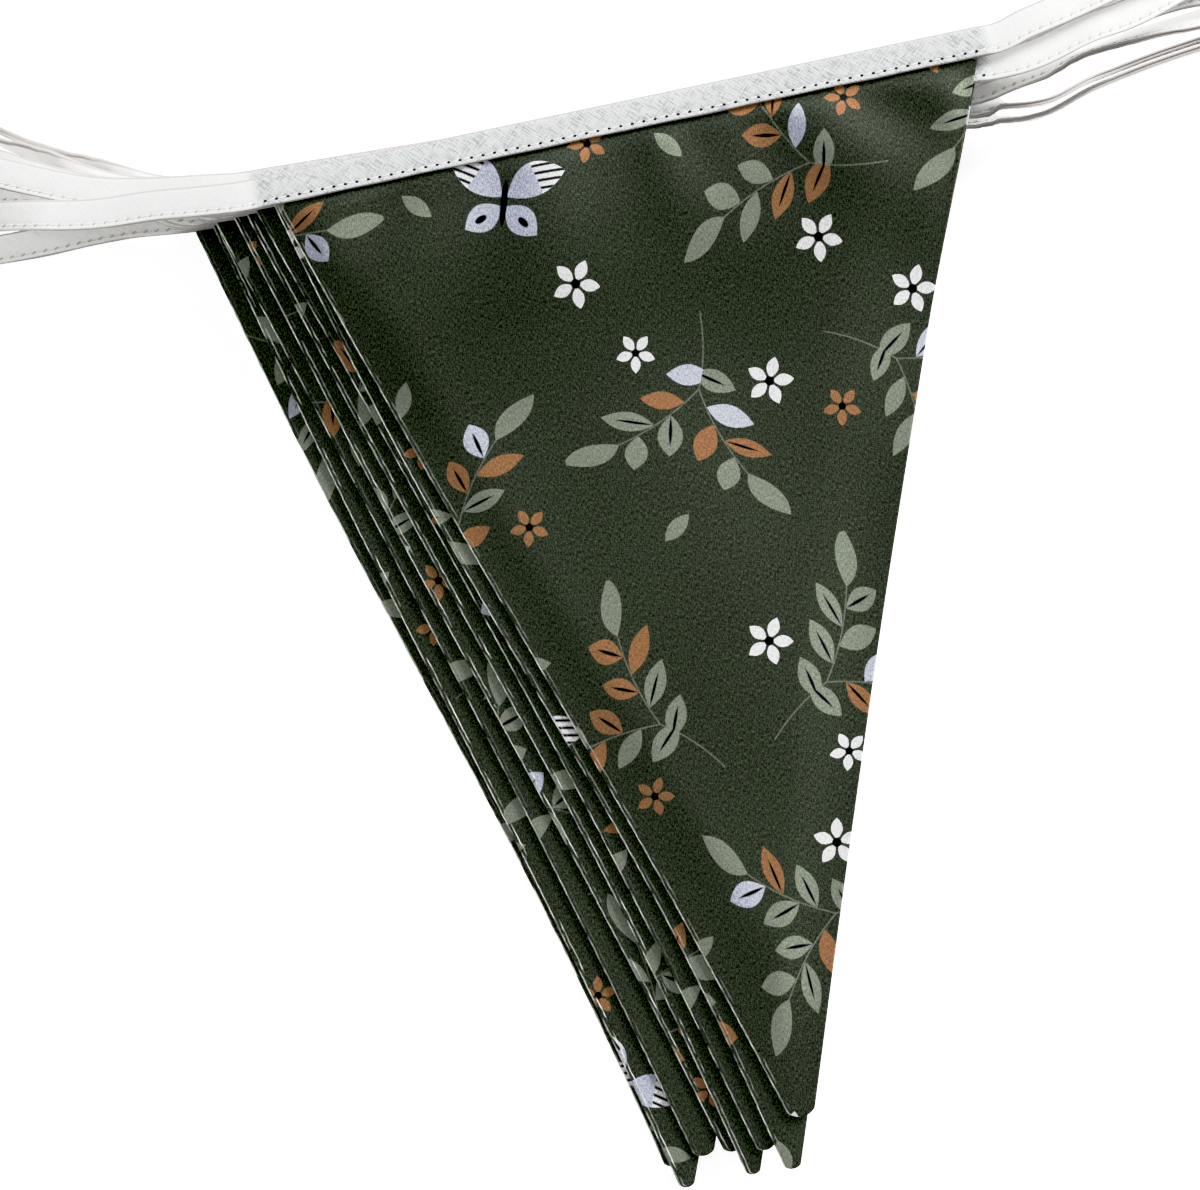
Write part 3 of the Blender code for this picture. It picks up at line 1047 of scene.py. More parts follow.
@dataclass(frozen=True)
class PrintedFlag:
    """One double flag: two panels sewn together and turned, with a soft round edge."""

    level: int
    pile: Pile
    row_step: float = 2.2
    columns: int = 40
    edge_steps: tuple[float, ...] = (0.0, 0.12, 0.35, 0.7, 1.05, 1.45, 2.2, 4.0, 6.5, 8.5)
    first_rows: tuple[float, ...] = (-2.0, 0.0, 0.4, 0.8, 1.3, 1.8, 2.8, 4.0)
    even_from: float = 6.0
    tip_rows: int = 12
    shrinking: float = 0.4
    round_width: float = 0.6
    seam_place: float = 1.05
    seam_width: float = 0.35
    seam_groove: float = 0.07
    grip_start: float = 0.4
    grip_length: float = 1.4
    droop: float = 0.2
    droop_width: float = 4.5
    droop_rise: float = 12.0
    swell: Swell = Swell()

    @property
    def cut(self) -> Cut:
        """The flag's own cut."""
        return self.pile.cuts[self.level]

    def rows(self) -> list[float]:
        """The rows' distances below the tape's lower edge."""
        cut, start = self.cut, self.even_from
        end = cut.drop - cut.tip
        count = math.ceil((end - start) / self.row_step)
        even = [start + (end - start) * row / count for row in range(count + 1)]
        turns = [math.pi / 2 * row / self.tip_rows for row in range(1, self.tip_rows)]
        tip = [end + cut.tip * math.sin(turn) for turn in turns]
        return [-self.pile.bound_depth, *self.first_rows, *even, *tip]

    def columns_of(self, left: float, right: float) -> list[tuple[float, float]]:
        """The columns in a row.

        Args:
            left: The row's left end.
            right: The row's right end.

        Returns:
            Each column's place and its distance from the nearer edge.
        """
        width = right - left
        shrink = min(1.0, self.shrinking * width / self.edge_steps[-1])
        near = [step * shrink for step in self.edge_steps]
        inner = width - 2 * near[-1]
        middle = [near[-1] + inner * part / self.columns for part in range(1, self.columns)]
        offsets = near + middle + [width - step for step in reversed(near)]
        return [(left + offset, min(offset, width - offset)) for offset in offsets]

    def half_thickness(self, edge: float, below: float) -> float:
        """Half the flag's thickness.

        Args:
            edge: The distance from the nearest side edge.
            below: The distance below the tape's lower edge.

        Returns:
            The half thickness, which is nought on the edge.
        """
        near = min(edge, self.cut.drop - below)
        inward = 1.0 - min(near / self.round_width, 1.0)
        round_edge = math.sqrt(max(0.0, 1.0 - inward**2))
        off_seam = abs(near - self.seam_place) / self.seam_width
        groove = self.seam_groove * self.cut.seam * max(0.0, 1.0 - off_seam)
        full = (self.pile.thickness / 2 - groove) * round_edge
        gripped = self.pile.bound_thickness / 2
        grip = 1.0 - smoothstep((below - self.grip_start) / self.grip_length)
        return full + (min(gripped, full) - full) * grip

    def build(self, material: bpy.types.Material) -> bpy.types.Object:
        """Makes the flag.

        Args:
            material: The printed cotton.

        Returns:
            The flag's object.
        """
        mesh, pile, cut = MeshData(), self.pile, self.cut
        spin = math.radians(cut.print_turn)
        is_top = self.level == len(pile.cuts) - 1
        tops, bottoms = [], []
        for below in self.rows():
            top, bottom = [], []
            left, right = pile.edges(cut, below)
            for along, edge in self.columns_of(left, right):
                x, y = pile.place(cut, along, below)
                middle = pile.height(self.level, x, y, below) - self.drooped(edge, below)
                if is_top:
                    sides = (along - left, right - along)
                    middle += self.swell.height(along, below, sides, (pile.width, cut.drop))
                half = self.half_thickness(edge, below)
                spot = (
                    cut.print_x + along * math.cos(spin) - below * math.sin(spin),
                    cut.print_y - along * math.sin(spin) - below * math.cos(spin),
                )
                numbers = {"edge": along - left, "seam": cut.seam}
                top.append(mesh.add(Vector((x, y, middle + half)), spot, **numbers))
                if edge > 0.0:
                    bottom.append(mesh.add(Vector((x, y, middle - half)), spot, **numbers))
                else:
                    bottom.append(top[-1])
            tops.append(top)
            bottoms.append(bottom)
        for first, second in pairwise(tops):
            mesh.bridge(second, first)
        for first, second in pairwise(bottoms):
            mesh.bridge(first, second)
        mesh.bridge(tops[0], bottoms[0])
        mesh.bridge(bottoms[-1], tops[-1])
        mesh.faces = [face for face in mesh.faces if len(face) > 2]
        return mesh.piece(f"printed_flag_{self.level + 1:02d}", "print", material)

    def drooped(self, edge: float, below: float) -> float:
        """How far the cloth hangs down over the layer below, near its own edge.

        Args:
            edge: The distance from the nearest side edge.
            below: The distance below the tape's lower edge.

        Returns:
            The depth, which is nought in the lowest flag.
        """
        if self.level == 0:
            return 0.0
        near = 1.0 - min(edge / self.droop_width, 1.0)
        return self.droop * near * near * smoothstep(below / self.droop_rise)


@dataclass(frozen=True)
class Via:
    """A place that the tape's middle line passes over, and how far its sewn edge is rolled up."""

    x: float
    y: float
    roll: float = 0.0


@dataclass(frozen=True)
class Turn:
    """A loop's end: its middle, the way that it points, its roll and its radius."""

    x: float
    y: float
    heading: float
    roll: float
    radius: float


@dataclass(frozen=True)
class Loop:
    """The tape between two flags: from the lower flag to the turn, and on to the upper flag."""

    back: tuple[Via, ...]
    turn: Turn
    out: tuple[Via, ...]


LOW_TAIL = (Via(-97, 93), Via(-117, 93), Via(-153, 93), Via(-182, 90), Via(-217, 80))

LOOPS = (
    Loop(
        back=(Via(97.5, 81.6), Via(104, 79.4), Via(109, 77.4, 30), Via(114, 75.5, 75),
              Via(122, 74.4, 86), Via(137, 78.2, 86), Via(165, 82.6, 86)),
        turn=Turn(178, 84.35, heading=6, roll=86, radius=0.96),
        out=(Via(101, 81.8), Via(106, 80.5), Via(111, 78.9, 35), Via(115.5, 77.5, 80),
             Via(122, 76.35, 86), Via(137, 80.15, 86), Via(165, 84.55, 86)),
    ),
    Loop(
        back=(Via(-91, 96), Via(-108, 101), Via(-124, 106)),
        turn=Turn(-136, 108.5, heading=168, roll=0, radius=1.1),
        out=(Via(-90, 97), Via(-108, 101.5), Via(-124, 106.5)),
    ),
    Loop(
        back=(Via(108, 83), Via(121, 84.8, 28), Via(137, 87, 75), Via(154, 89, 60),
              Via(166, 89.6, 48)),
        turn=Turn(182, 92.5, heading=4, roll=28, radius=1.6),
        out=(Via(117, 88), Via(127, 90.4), Via(137, 92.4), Via(150, 94.6), Via(166, 96, 10)),
    ),
    Loop(
        back=(Via(-80.5, 95.4), Via(-90.5, 99.6), Via(-99, 104.6, -35), Via(-106.3, 109.6, -78),
              Via(-114.3, 115, -88), Via(-121.6, 120.2, -88)),
        turn=Turn(-135, 130.5, heading=138, roll=-88, radius=1.3),
        out=(Via(-80, 95), Via(-91.7, 98.4), Via(-100, 101.6), Via(-107, 105.6, -15),
             Via(-113.6, 111.4, -70), Via(-122.2, 117.4, -88)),
    ),
    Loop(
        back=(Via(116, 89.5), Via(133, 95), Via(146, 98.5), Via(158, 102)),
        turn=Turn(170, 106, heading=14, roll=0, radius=1.5),
        out=(Via(116, 90.5), Via(133, 96), Via(146, 99.5), Via(158, 102.5)),
    ),
    Loop(
        back=(Via(-90, 96.6), Via(-102, 100.4), Via(-116.4, 107.2), Via(-125, 112.4)),
        turn=Turn(-136, 116.5, heading=147, roll=0, radius=1.9),
        out=(Via(-75.7, 94.6), Via(-89, 96.8), Via(-101.4, 99.6), Via(-114, 104.6),
             Via(-124.5, 109.6)),
    ),
    Loop(
        back=(Via(119, 86.5), Via(136, 90.5), Via(147, 92.5), Via(164, 98)),
        turn=Turn(186, 106, heading=18, roll=0, radius=2.4),
        out=(Via(120, 93.5), Via(131, 96), Via(143, 99), Via(158, 102)),
    ),
)

TOP_TAIL = (
    Via(-76, 91.5), Via(-88, 93), Via(-102, 94), Via(-118, 97), Via(-127, 99), Via(-151, 104),
    Via(-175, 110), Via(-197, 119),
)


@dataclass
class Slice:
    """A cross-section of the tape: its middle, the way to its sewn edge, and how open it is."""

    place: Vector
    across: Vector
    bound: float


@dataclass(frozen=True)
class StrandEnd:
    """Where a strand meets a loop's end: its place, direction and roll, and its least height."""

    place: Vector
    ahead: Vector
    roll: float
    height: float


def toward_flags(way: Vector, side: int, roll: float) -> Vector:
    """The direction from the tape's fold to its sewn edge.

    Args:
        way: The way that the tape runs.
        side: 1 where the sewn edge is on its right, and -1 on its left.
        roll: How far the sewn edge is rolled up, in degrees.

    Returns:
        The direction.
    """
    level = Vector((way.y, -way.x, 0)) * side
    return level * math.cos(math.radians(roll)) + Vector((0, 0, math.sin(math.radians(roll))))


@dataclass(frozen=True)
class TapeRoute:
    """How the tape is laid, strand on strand, from the lowest flag's free end to the top one's."""

    pile: Pile
    width: float = 7.2
    free_thickness: float = 1.4
    descent: float = 3.2
    shortest_descent: float = 10.0
    steepest_step: float = 2.2
    lowering: float = 0.15
    air: float = 0.5
    free_step: float = 5.0
    turn_parts: int = 6
    pass_end: float = 5.0
    slot_end: float = 1.2
    corner_step: float = 4.0
    corner_steps: int = 8

    @property
    def pass_places(self) -> tuple[float, ...]:
        """Where the tape over a flag is divided."""
        wide, near, far = self.pile.width, self.slot_end, self.pass_end
        return (-far, -near, wide / 2, wide + near, wide + far)

    @property
    def corner_places(self) -> tuple[float, ...]:
        """Places on the tape near a flag's two corners, on which later strands lie."""
        steps = [self.corner_step * step for step in range(-1, self.corner_steps)]
        return tuple(place for step in steps for place in (step, self.pile.width - step))

    def over_flag(self, level: int, places: Sequence[float]) -> list[Slice]:
        """Slices of the straight tape over one flag.

        Args:
            level: The flag's number, from 0 at the bottom.
            places: Distances along it from the left corner.

        Returns:
            The slices.
        """
        cut = self.pile.cuts[level]
        across = toward_flags(compass(cut.turn), 1, 0)
        slices = []
        for along in places:
            x, y = self.pile.place(cut, along, -self.width / 2)
            bound = float(-self.pass_end < along < self.pile.width + self.pass_end)
            slices.append(Slice(Vector((x, y, self.pile.sewn_height(level))), across, bound))
        return slices

    def plan_curve(self, places: list[Vector], leaving: Vector,
                   arriving: Vector | None) -> Iterator[tuple[int, float, Vector, Vector]]:
        """Follows a smooth level curve through places.

        Args:
            places: The places.
            leaving: The direction at the first one.
            arriving: The direction at the last one, if it is set.

        Yields:
            The stretch's number, the share along it, the point and the direction there.
        """
        steps = [(after - before).length for before, after in pairwise(places)]
        chords = [(after - before) / s for before, after, s in zip(places, places[1:], steps)]
        ways = [leaving]
        for before, after, first, second in zip(chords, chords[1:], steps, steps[1:]):
            ways.append((before * second + after * first) / (first + second))
        ways.append(arriving or chords[-1])
        for number, length in enumerate(steps):
            count = max(1, math.ceil(length / self.free_step))
            for part in range(1, count + 1):
                share = part / count
                square = share**2
                ends = (places[number], places[number + 1])
                point = curved(ends, ways[number] * length, ways[number + 1] * length, share)
                way = chords[number] * (6 * share - 6 * square)
                way += ways[number] * (3 * square - 4 * share + 1)
                way += ways[number + 1] * (3 * square - 2 * share)
                yield number, share, point, way.normalized()

    def halves(self, piece: Slice, sideways: Vector) -> tuple:
        """A cross-section's middle, its two directions and half sides, seen along the tape."""
        middle = Vector((piece.place.dot(sideways), piece.place.z))
        wide = Vector((piece.across.dot(sideways), piece.across.z)).normalized()
        swollen = (self.pile.tape_thickness - self.free_thickness) * piece.bound
        thick = self.free_thickness + swollen
        return middle, wide, Vector((-wide.y, wide.x)), self.width / 2, thick / 2

    def apart(self, first: tuple, second: tuple) -> bool:
        """Whether two cross-sections leave air between them."""
        gap = second[0] - first[0]
        for axis in (first[1], first[2], second[1], second[2]):
            reach = self.air
            for shape in (first, second):
                reach += abs(shape[1].dot(axis)) * shape[3] + abs(shape[2].dot(axis)) * shape[4]
            if abs(gap.dot(axis)) > reach:
                return True
        return False

    def rest_on(self, piece: Slice, way: Vector, below: list[Slice]) -> float:
        """Lets a cross-section down from above.

        Args:
            piece: The cross-section, at the lowest height that it may have.
            way: The way that the tape runs.
            below: The tape that already lies there.

        Returns:
            The height at which it comes to rest.
        """
        sideways = Vector((-way.y, way.x, 0))
        middle, *shape = self.halves(piece, sideways)
        near = [
            self.halves(other, sideways)
            for other in below
            if abs((other.place - piece.place).dot(way)) < self.free_step
            and (other.place - piece.place).to_2d().length < 2 * self.width
        ]
        floor = max(middle.y, abs(shape[0].y) * shape[2] + abs(shape[1].y) * shape[3])
        height = max([floor] + [other[0].y + self.width + self.air for other in near])
        while height > floor:
            lower = (Vector((middle.x, height - self.lowering)), *shape)
            if not all(self.apart(lower, other) for other in near):
                return height
            height -= self.lowering
        return floor

    def eased(self, heights: list[float]) -> list[float]:
        """Heights without steep steps, none lower than given, with the first kept."""
        last = len(heights) - 1
        gentle = [
            max(h - self.steepest_step * abs(place - number) for number, h in enumerate(heights))
            for place in range(last + 1)
        ]
        raised = [max(gentle[max(0, place - 1) : place + 2]) for place in range(last + 1)]
        smooth = [sum(raised[place - 1 : place + 2]) / 3 for place in range(1, last)]
        return [heights[0]] + smooth + [gentle[-1]]

    def strand(self, start: Slice, vias: tuple[Via, ...], side: int, below: list[Slice],
               end: StrandEnd | None = None) -> list[Slice]:
        """Lays a free stretch of tape on whatever is below it.

        Args:
            start: The last slice over the flag.
            vias: The places that it passes over, from the flag outwards.
            side: 1 at the flags' right, and -1 at their left.
            below: The tape that already lies there.
            end: The loop's end that it runs to, if it isn't a free end.

        Returns:
            Its slices after the start.
        """
        places = [start.place.to_2d()] + [Vector((via.x, via.y)) for via in vias]
        rolls = [0.0] + [via.roll for via in vias]
        if end:
            places.append(end.place)
            rolls.append(end.roll)
        leaving = Vector((-start.across.y, start.across.x)) * side
        drop = start.place.z - self.pile.tape_thickness / 2
        length = sum((after - before).length for before, after in pairwise(places))
        run = min(max(self.shortest_descent, self.descent * drop), length)
        rest = end.height if end else self.free_thickness / 2
        slices, gone = [start], 0.0
        for number, share, point, way in self.plan_curve(places, leaving, end and end.ahead):
            gone += (point - slices[-1].place.to_2d()).length
            roll = rolls[number] + (rolls[number + 1] - rolls[number]) * smoothstep(share)
            height = start.place.z + (rest - start.place.z) * smoothstep(gone / run)
            piece = Slice(Vector((*point, height)), toward_flags(way, side, roll), 0.0)
            piece.place.z = self.rest_on(piece, way.to_3d(), below)
            slices.append(piece)
        if end:
            slices[-1].place.z = max(slices[-1].place.z, end.height)
        for piece, height in zip(slices, self.eased([piece.place.z for piece in slices])):
            piece.place.z = height
        return slices[1:]

    def bend_reach(self, turn: Turn, side: int) -> Vector:
        """From a loop's middle to its farther or upper strand, at the loop's end."""
        ahead = compass(turn.heading).to_3d()
        return toward_flags(ahead, side, turn.roll).cross(ahead) * side * turn.radius

    def bend(self, turn: Turn, side: int, lower: float, upper: float) -> list[Slice]:
        """The round end of a loop.

        Args:
            turn: The loop's end.
            side: 1 at the flags' right, and -1 at their left.
            lower: The height of the strand that arrives.
            upper: The height of the strand that leaves.

        Returns:
            Its slices.
        """
        ahead = compass(turn.heading).to_3d()
        across = toward_flags(ahead, side, turn.roll)
        reach = Vector((*self.bend_reach(turn, side).to_2d(), (upper - lower) / 2))
        middle = Vector((turn.x, turn.y, (lower + upper) / 2))
        slices = []
        for part in range(1, self.turn_parts):
            angle = math.pi * part / self.turn_parts
            swing = ahead * turn.radius * math.sin(angle)
            slices.append(Slice(middle - reach * math.cos(angle) + swing, across, 0.0))
        return slices

    def loop(self, level: int, below: list[Slice]) -> list[Slice]:
        """The tape from a flag's end round to the next flag up.

        Args:
            level: The lower flag's number.
            below: The tape that already lies there.

        Returns:
            Its slices in that order.
        """
        loop = LOOPS[level]
        turn = loop.turn
        side = 1 if level % 2 == 0 else -1
        corner = self.pile.width + self.pass_end if side > 0 else -self.pass_end
        lower, upper = (self.over_flag(at, (corner,))[0] for at in (level, level + 1))
        ahead, reach = compass(turn.heading), self.bend_reach(turn, side)
        middle = Vector((turn.x, turn.y))
        near = StrandEnd(middle - reach.to_2d(), ahead, turn.roll, self.free_thickness / 2)
        back = self.strand(lower, loop.back, side, below, near)
        below = below + back + self.over_flag(level, self.corner_places)
        base = back[-1].place.z
        far = StrandEnd(middle + reach.to_2d(), ahead, turn.roll, base + 2 * reach.z)
        out = self.strand(upper, loop.out, side, below, far)
        return back + self.bend(turn, side, base, out[-1].place.z) + out[::-1]

    def slices(self) -> list[Slice]:
        """The whole tape, from the lowest flag's free end to the top flag's.

        Returns:
            Its slices, a few millimetres apart where it is free.
        """
        top = len(self.pile.cuts) - 1
        first, last = (self.over_flag(level, self.pass_places) for level in (0, top))
        tail = self.strand(first[0], LOW_TAIL, -1, [])
        route, below = tail[::-1] + first, list(tail)
        for level in range(len(LOOPS)):
            loop = self.loop(level, below)
            over = self.over_flag(level + 1, self.pass_places)
            route += loop + (over[::-1] if level % 2 == 0 else over)
            below += loop + self.over_flag(level, self.corner_places)
        return route + self.strand(last[0], TOP_TAIL, -1, below)


@dataclass
class FineSlice:
    """A finely spaced cross-section, with its directions and its distance along the tape."""

    place: Vector
    ahead: Vector
    across: Vector
    normal: Vector
    bound: float
    along: float


@dataclass(frozen=True)
class BindingTape:
    """The folded bias strip, swept along its route with its legs, its fold and its sewn edge."""

    route: TapeRoute
    step: float = 1.3
    slot_height: float = 1.1
    slot_depth: float = 6.4
    notch_height: float = 0.3
    notch_depth: float = 0.6
    stitch_inset: float = 1.25
    groove: float = 0.12
    lip: float = 0.5
    wobble: float = 0.12
    wobble_lengths: tuple[float, float] = (7.3, 3.1)

    def fine_slices(self) -> list[FineSlice]:
        """Divides the route evenly along smooth curves.

        Returns:
            The fine slices.
        """
        slices = self.route.slices()
        last = len(slices) - 1
        ways = []
        for number in range(last + 1):
            before, after = slices[max(number - 1, 0)], slices[min(number + 1, last)]
            ways.append((after.place - before.place).normalized())
        fine, gone = [], 0.0
        for number in range(last):
            here, there = slices[number], slices[number + 1]
            length = (there.place - here.place).length
            count = max(1, math.ceil(length / self.step))
            for part in range(count + (number == last - 1)):
                share = part / count
                leaving, arriving = ways[number] * length, ways[number + 1] * length
                place = curved((here.place, there.place), leaving, arriving, share)
                ahead = ways[number].lerp(ways[number + 1], share).normalized()
                across = here.across.lerp(there.across, smoothstep(share))
                across = (across - ahead * across.dot(ahead)).normalized()
                bound = here.bound + (there.bound - here.bound) * smoothstep(share)
                along = gone + length * share
                fine.append(FineSlice(place, ahead, across, ahead.cross(across), bound, along))
            gone += length
        return fine

    def half_heights(self, bound: float) -> tuple[float, float]:
        """Half the tape's thickness and half its slot's height."""
        thick, free = self.route.pile.tape_thickness, self.route.free_thickness
        half = (free + (thick - free) * bound) / 2
        slot = (self.notch_height + (self.slot_height - self.notch_height) * bound) / 2
        return half, slot

    def section(self, bound: float, along: float) -> list[tuple[float, float, float]]:
        """The tape's outline.

        Args:
            bound: 1 where a flag is between the legs, and 0 where the tape is free.
            along: The distance along the tape, by which its sewn edge wanders a little.

        Returns:
            The way across, the height, and the distance from the fold along the cloth.
        """
        half, slot = self.half_heights(bound)
        long, short = self.wobble_lengths
        wander = self.wobble * (math.sin(along / long) + math.sin(along / short + 1.0)) / 2
        edge = self.route.width / 2 + wander
        root = edge - self.notch_depth - (self.slot_depth - self.notch_depth) * bound
        stitch = edge - self.stitch_inset
        fold = -self.route.width / 2
        upper = [
            (root, slot), (edge - 0.12, slot), (edge, slot + 0.1), (edge, half - 0.22),
            (edge - 0.16, half - 0.06), (edge - 0.5, half), (stitch + 0.3, half - 0.02),
            (stitch, half - self.groove), (stitch - 0.45, half - 0.01), (0.8, half + 0.03),
            (-1.2, half + 0.03), (-2.5, half), (fold + 0.45, half - 0.07),
            (fold + 0.1, half * 0.62),
        ]
        outline = []
        for across, height in upper:
            unfolded = 2 * edge - across if height == slot else across
            outline.append((across, height, self.lip + unfolded - fold))
        outline.append((fold, 0.0, 0.0))
        lower = [(across, -height, -around) for across, height, around in outline[-2::-1]]
        return outline + lower

    def build(self, fine: list[FineSlice], material: bpy.types.Material) -> bpy.types.Object:
        """Makes the tape.

        Args:
            fine: Its fine slices.
            material: The binding cotton.

        Returns:
            The tape's object.
        """
        mesh = MeshData()
        rings = []
        for piece in fine:
            ring = []
            for across, height, around in self.section(piece.bound, piece.along):
                point = piece.place + piece.across * across + piece.normal * height
                ring.append(mesh.add(point, (piece.along, around), bound=piece.bound))
            rings.append(ring)
        for first, second in pairwise(rings):
            mesh.bridge(first, second, closed=True)
        mesh.faces.append(tuple(reversed(rings[0])))
        mesh.faces.append(tuple(rings[-1]))
        return mesh.piece("folded_binding", "weave", material)

    def stitch_line(self, fine: list[FineSlice], side: int) -> bpy.types.Object:
        """The line of stitches on one face of the tape, as bare edges.

        Args:
            fine: The tape's fine slices.
            side: 1 or -1, for its two faces.

        Returns:
            An object whose points know which way is out, and where a flag is underneath.
        """
        points, outward, bound = [], [], []
        for piece in fine:
            half = self.half_heights(piece.bound)[0] - self.groove
            inset = self.route.width / 2 - self.stitch_inset
            place = piece.place + piece.across * inset + piece.normal * half * side
            points.append(place * MM)
            outward.append(piece.normal * side)
            bound.append(piece.bound)
        mesh = bpy.data.meshes.new("stitch_line")
        mesh.from_pydata(points, [(n, n + 1) for n in range(len(points) - 1)], [])
        made = mesh.attributes.new("outward", "FLOAT_VECTOR", "POINT")
        made.data.foreach_set("vector", np.array(outward, dtype=np.float32).ravel())
        made = mesh.attributes.new("bound", "FLOAT", "POINT")
        made.data.foreach_set("value", np.array(bound, dtype=np.float32))
        return added("stitch_line", mesh)


class StitchInput(Enum):
    """The named inputs of the stitch maker, with the type of each."""

    PITCH = ("Pitch", "NodeSocketFloat")
    LENGTH = ("Stitch Length", "NodeSocketFloat")
    WIDTH = ("Stitch Width", "NodeSocketFloat")
    HOLE = ("Hole Width", "NodeSocketFloat")
    SLANT = ("Slant", "NodeSocketFloat")
    SEED = ("Seed", "NodeSocketInt")
    THREAD = ("Thread", "NodeSocketMaterial")
    PUNCHED = ("Punched", "NodeSocketMaterial")
    # The finish of the grey painted shadows beside the stitches on the free tape.
    DIMPLED = ("Dimpled", "NodeSocketMaterial")


@dataclass(frozen=True)
class Mark:
    """A kind of mark between stitches, which is either a dark needle hole or a grey painted stitch
    shadow: where it is made, its finish, its length for its width, its lean.
    """

    where: str
    finish: StitchInput
    stretch: float
    lean: float


@dataclass(frozen=True)
class Stitching:
    """A lockstitch along the tape's sewn edge, with needle holes that show over the flags and a
    grey painted shadow beside each stitch where the tape is free.
    """

    pitch: float = 2.74
    length: float = 2.0
    width: float = 0.42
    hole: float = 0.84
    slant: float = math.radians(14.0)
    slant_range: tuple[float, float] = (0.6, 1.4)
    seed: int = 5
    segments: int = 8
    thread_rings: int = 5
    hole_rings: int = 4
    hole_shape: tuple[float, float] = (0.85, 0.5)
    over_flag: float = 0.9
    marks: tuple[Mark, ...] = (
        Mark("GREATER_THAN", StitchInput.PUNCHED, stretch=1.0, lean=0.0),
        # On the free tape, a grey mark paints the shadow beside each stitch.
        Mark("LESS_EQUAL", StitchInput.DIMPLED, stretch=1.9, lean=0.5),
    )

    def tree(self) -> tuple[bpy.types.NodeTree, dict[StitchInput, str]]:
        """Builds the stitch maker's node tree.

        Returns:
            The tree, and each named input's identifier.
        """
        tree = bpy.data.node_groups.new("stitch_maker", "GeometryNodeTree")
        sockets = tree.interface
        sockets.new_socket(name="Line", in_out="INPUT", socket_type="NodeSocketGeometry")
        named = {
            entry: sockets.new_socket(name=entry.value[0], in_out="INPUT",
                                      socket_type=entry.value[1]).identifier
            for entry in StitchInput
        }
        sockets.new_socket(name="Sewing", in_out="OUTPUT", socket_type="NodeSocketGeometry")
        nodes = Nodes(tree)
        given = nodes.add("NodeGroupInput").outputs
        joined = nodes.add("GeometryNodeJoinGeometry")
        tree.links.new(self.threads(nodes, given), joined.inputs[0])
        for mark in self.marks:
            tree.links.new(self.holes(nodes, given, mark), joined.inputs[0])
        nodes.add("NodeGroupOutput", None, {0: joined.outputs[0]})
        return tree, named

    def carried(self, nodes: Nodes, name: str, kind: str) -> bpy.types.NodeSocket:
        """A value that the line's points carry."""
        settings = {"data_type": kind}
        return nodes.add("GeometryNodeInputNamedAttribute", settings, {"Name": name}).outputs[0]

    def standing(self, nodes: Nodes, lean: object) -> bpy.types.NodeSocket:
        """The rotation that stands on the tape, and leans from the line by an angle.

        Args:
            nodes: The tree's nodes.
            lean: The angle, as the last part of a vector.

        Returns:
            The rotation.
        """
        tangent = nodes.add("GeometryNodeInputTangent").outputs[0]
        outward = self.carried(nodes, "outward", "FLOAT_VECTOR")
        settings = {"primary_axis": "X", "secondary_axis": "Z"}
        inputs = {"Primary Axis": tangent, "Secondary Axis": outward}
        upright = nodes.add("FunctionNodeAxesToRotation", settings, inputs)
        spin = nodes.add("FunctionNodeEulerToRotation", None, {0: lean})
        inputs = {0: upright.outputs[0], 1: spin.outputs[0]}
        settings = {"rotation_space": "LOCAL"}
        return nodes.add("FunctionNodeRotateRotation", settings, inputs).outputs[0]

    def spaced(self, nodes: Nodes, given: bpy.types.NodeInputs) -> bpy.types.NodeSocket:
        """The line's points, a stitch apart."""
        curve = nodes.add("GeometryNodeMeshToCurve", None, {"Mesh": given["Line"]})
        inputs = {"Curve": curve.outputs[0], "Length": given["Pitch"]}
        return nodes.add("GeometryNodeResampleCurve", {"mode": "LENGTH"}, inputs).outputs[0]

    def threads(self, nodes: Nodes, given: bpy.types.NodeInputs) -> bpy.types.NodeSocket:
        """Lays one short round thread at each point.

        Args:
            nodes: The tree's nodes.
            given: The tree's inputs.

        Returns:
            The threads.
        """
        least, most = self.slant_range
        chance = nodes.add("FunctionNodeRandomValue", {"data_type": "FLOAT"},
                           {2: least, 3: most, "Seed": given["Seed"]})
        slant = Value(nodes, given["Slant"]) * Value(nodes, chance.outputs[1])
        turned = self.standing(nodes, nodes.vector(0.0, 0.0, slant))
        half_length = Value(nodes, given["Stitch Length"]) * 0.5
        half_width = Value(nodes, given["Stitch Width"]) * 0.5
        size = nodes.vector(half_length, half_width, half_width)
        inputs = {"Points": self.spaced(nodes, given), "Rotation": turned, "Scale": size}
        return self.placed(nodes, inputs, self.thread_rings, given["Thread"])

    def holes(self, nodes: Nodes, given: bpy.types.NodeInputs,
              mark: Mark) -> bpy.types.NodeSocket:
        """Puts a mark between each two stitches: a dark needle hole over the flags, and a grey
        painted stitch shadow on the free tape.

        Args:
            nodes: The tree's nodes.
            given: The tree's inputs.
            mark: The kind of mark.

        Returns:
            The marks.
        """
        bound = self.carried(nodes, "bound", "FLOAT")
        settings = {"data_type": "FLOAT", "operation": mark.where}
        chosen = nodes.add("FunctionNodeCompare", settings, {0: bound, 1: self.over_flag})
        tangent = nodes.add("GeometryNodeInputTangent").outputs[0]
        between = Value(nodes, given["Pitch"]) * 0.5
        shift = nodes.add("ShaderNodeVectorMath", {"operation": "SCALE"},
                          {0: tangent, "Scale": between})
        moved = nodes.add("GeometryNodeSetPosition", None,
                          {"Geometry": self.spaced(nodes, given), "Offset": shift.outputs[0]})
        half = Value(nodes, given["Hole Width"]) * 0.5
        wide, deep = self.hole_shape
        size = nodes.vector(half * mark.stretch, half * wide, half * deep)
        inputs = {"Points": moved.outputs[0], "Selection": chosen.outputs[0], "Scale": size,
                  "Rotation": self.standing(nodes, (0.0, 0.0, mark.lean))}
        return self.placed(nodes, inputs, self.hole_rings, given[mark.finish.value[0]])

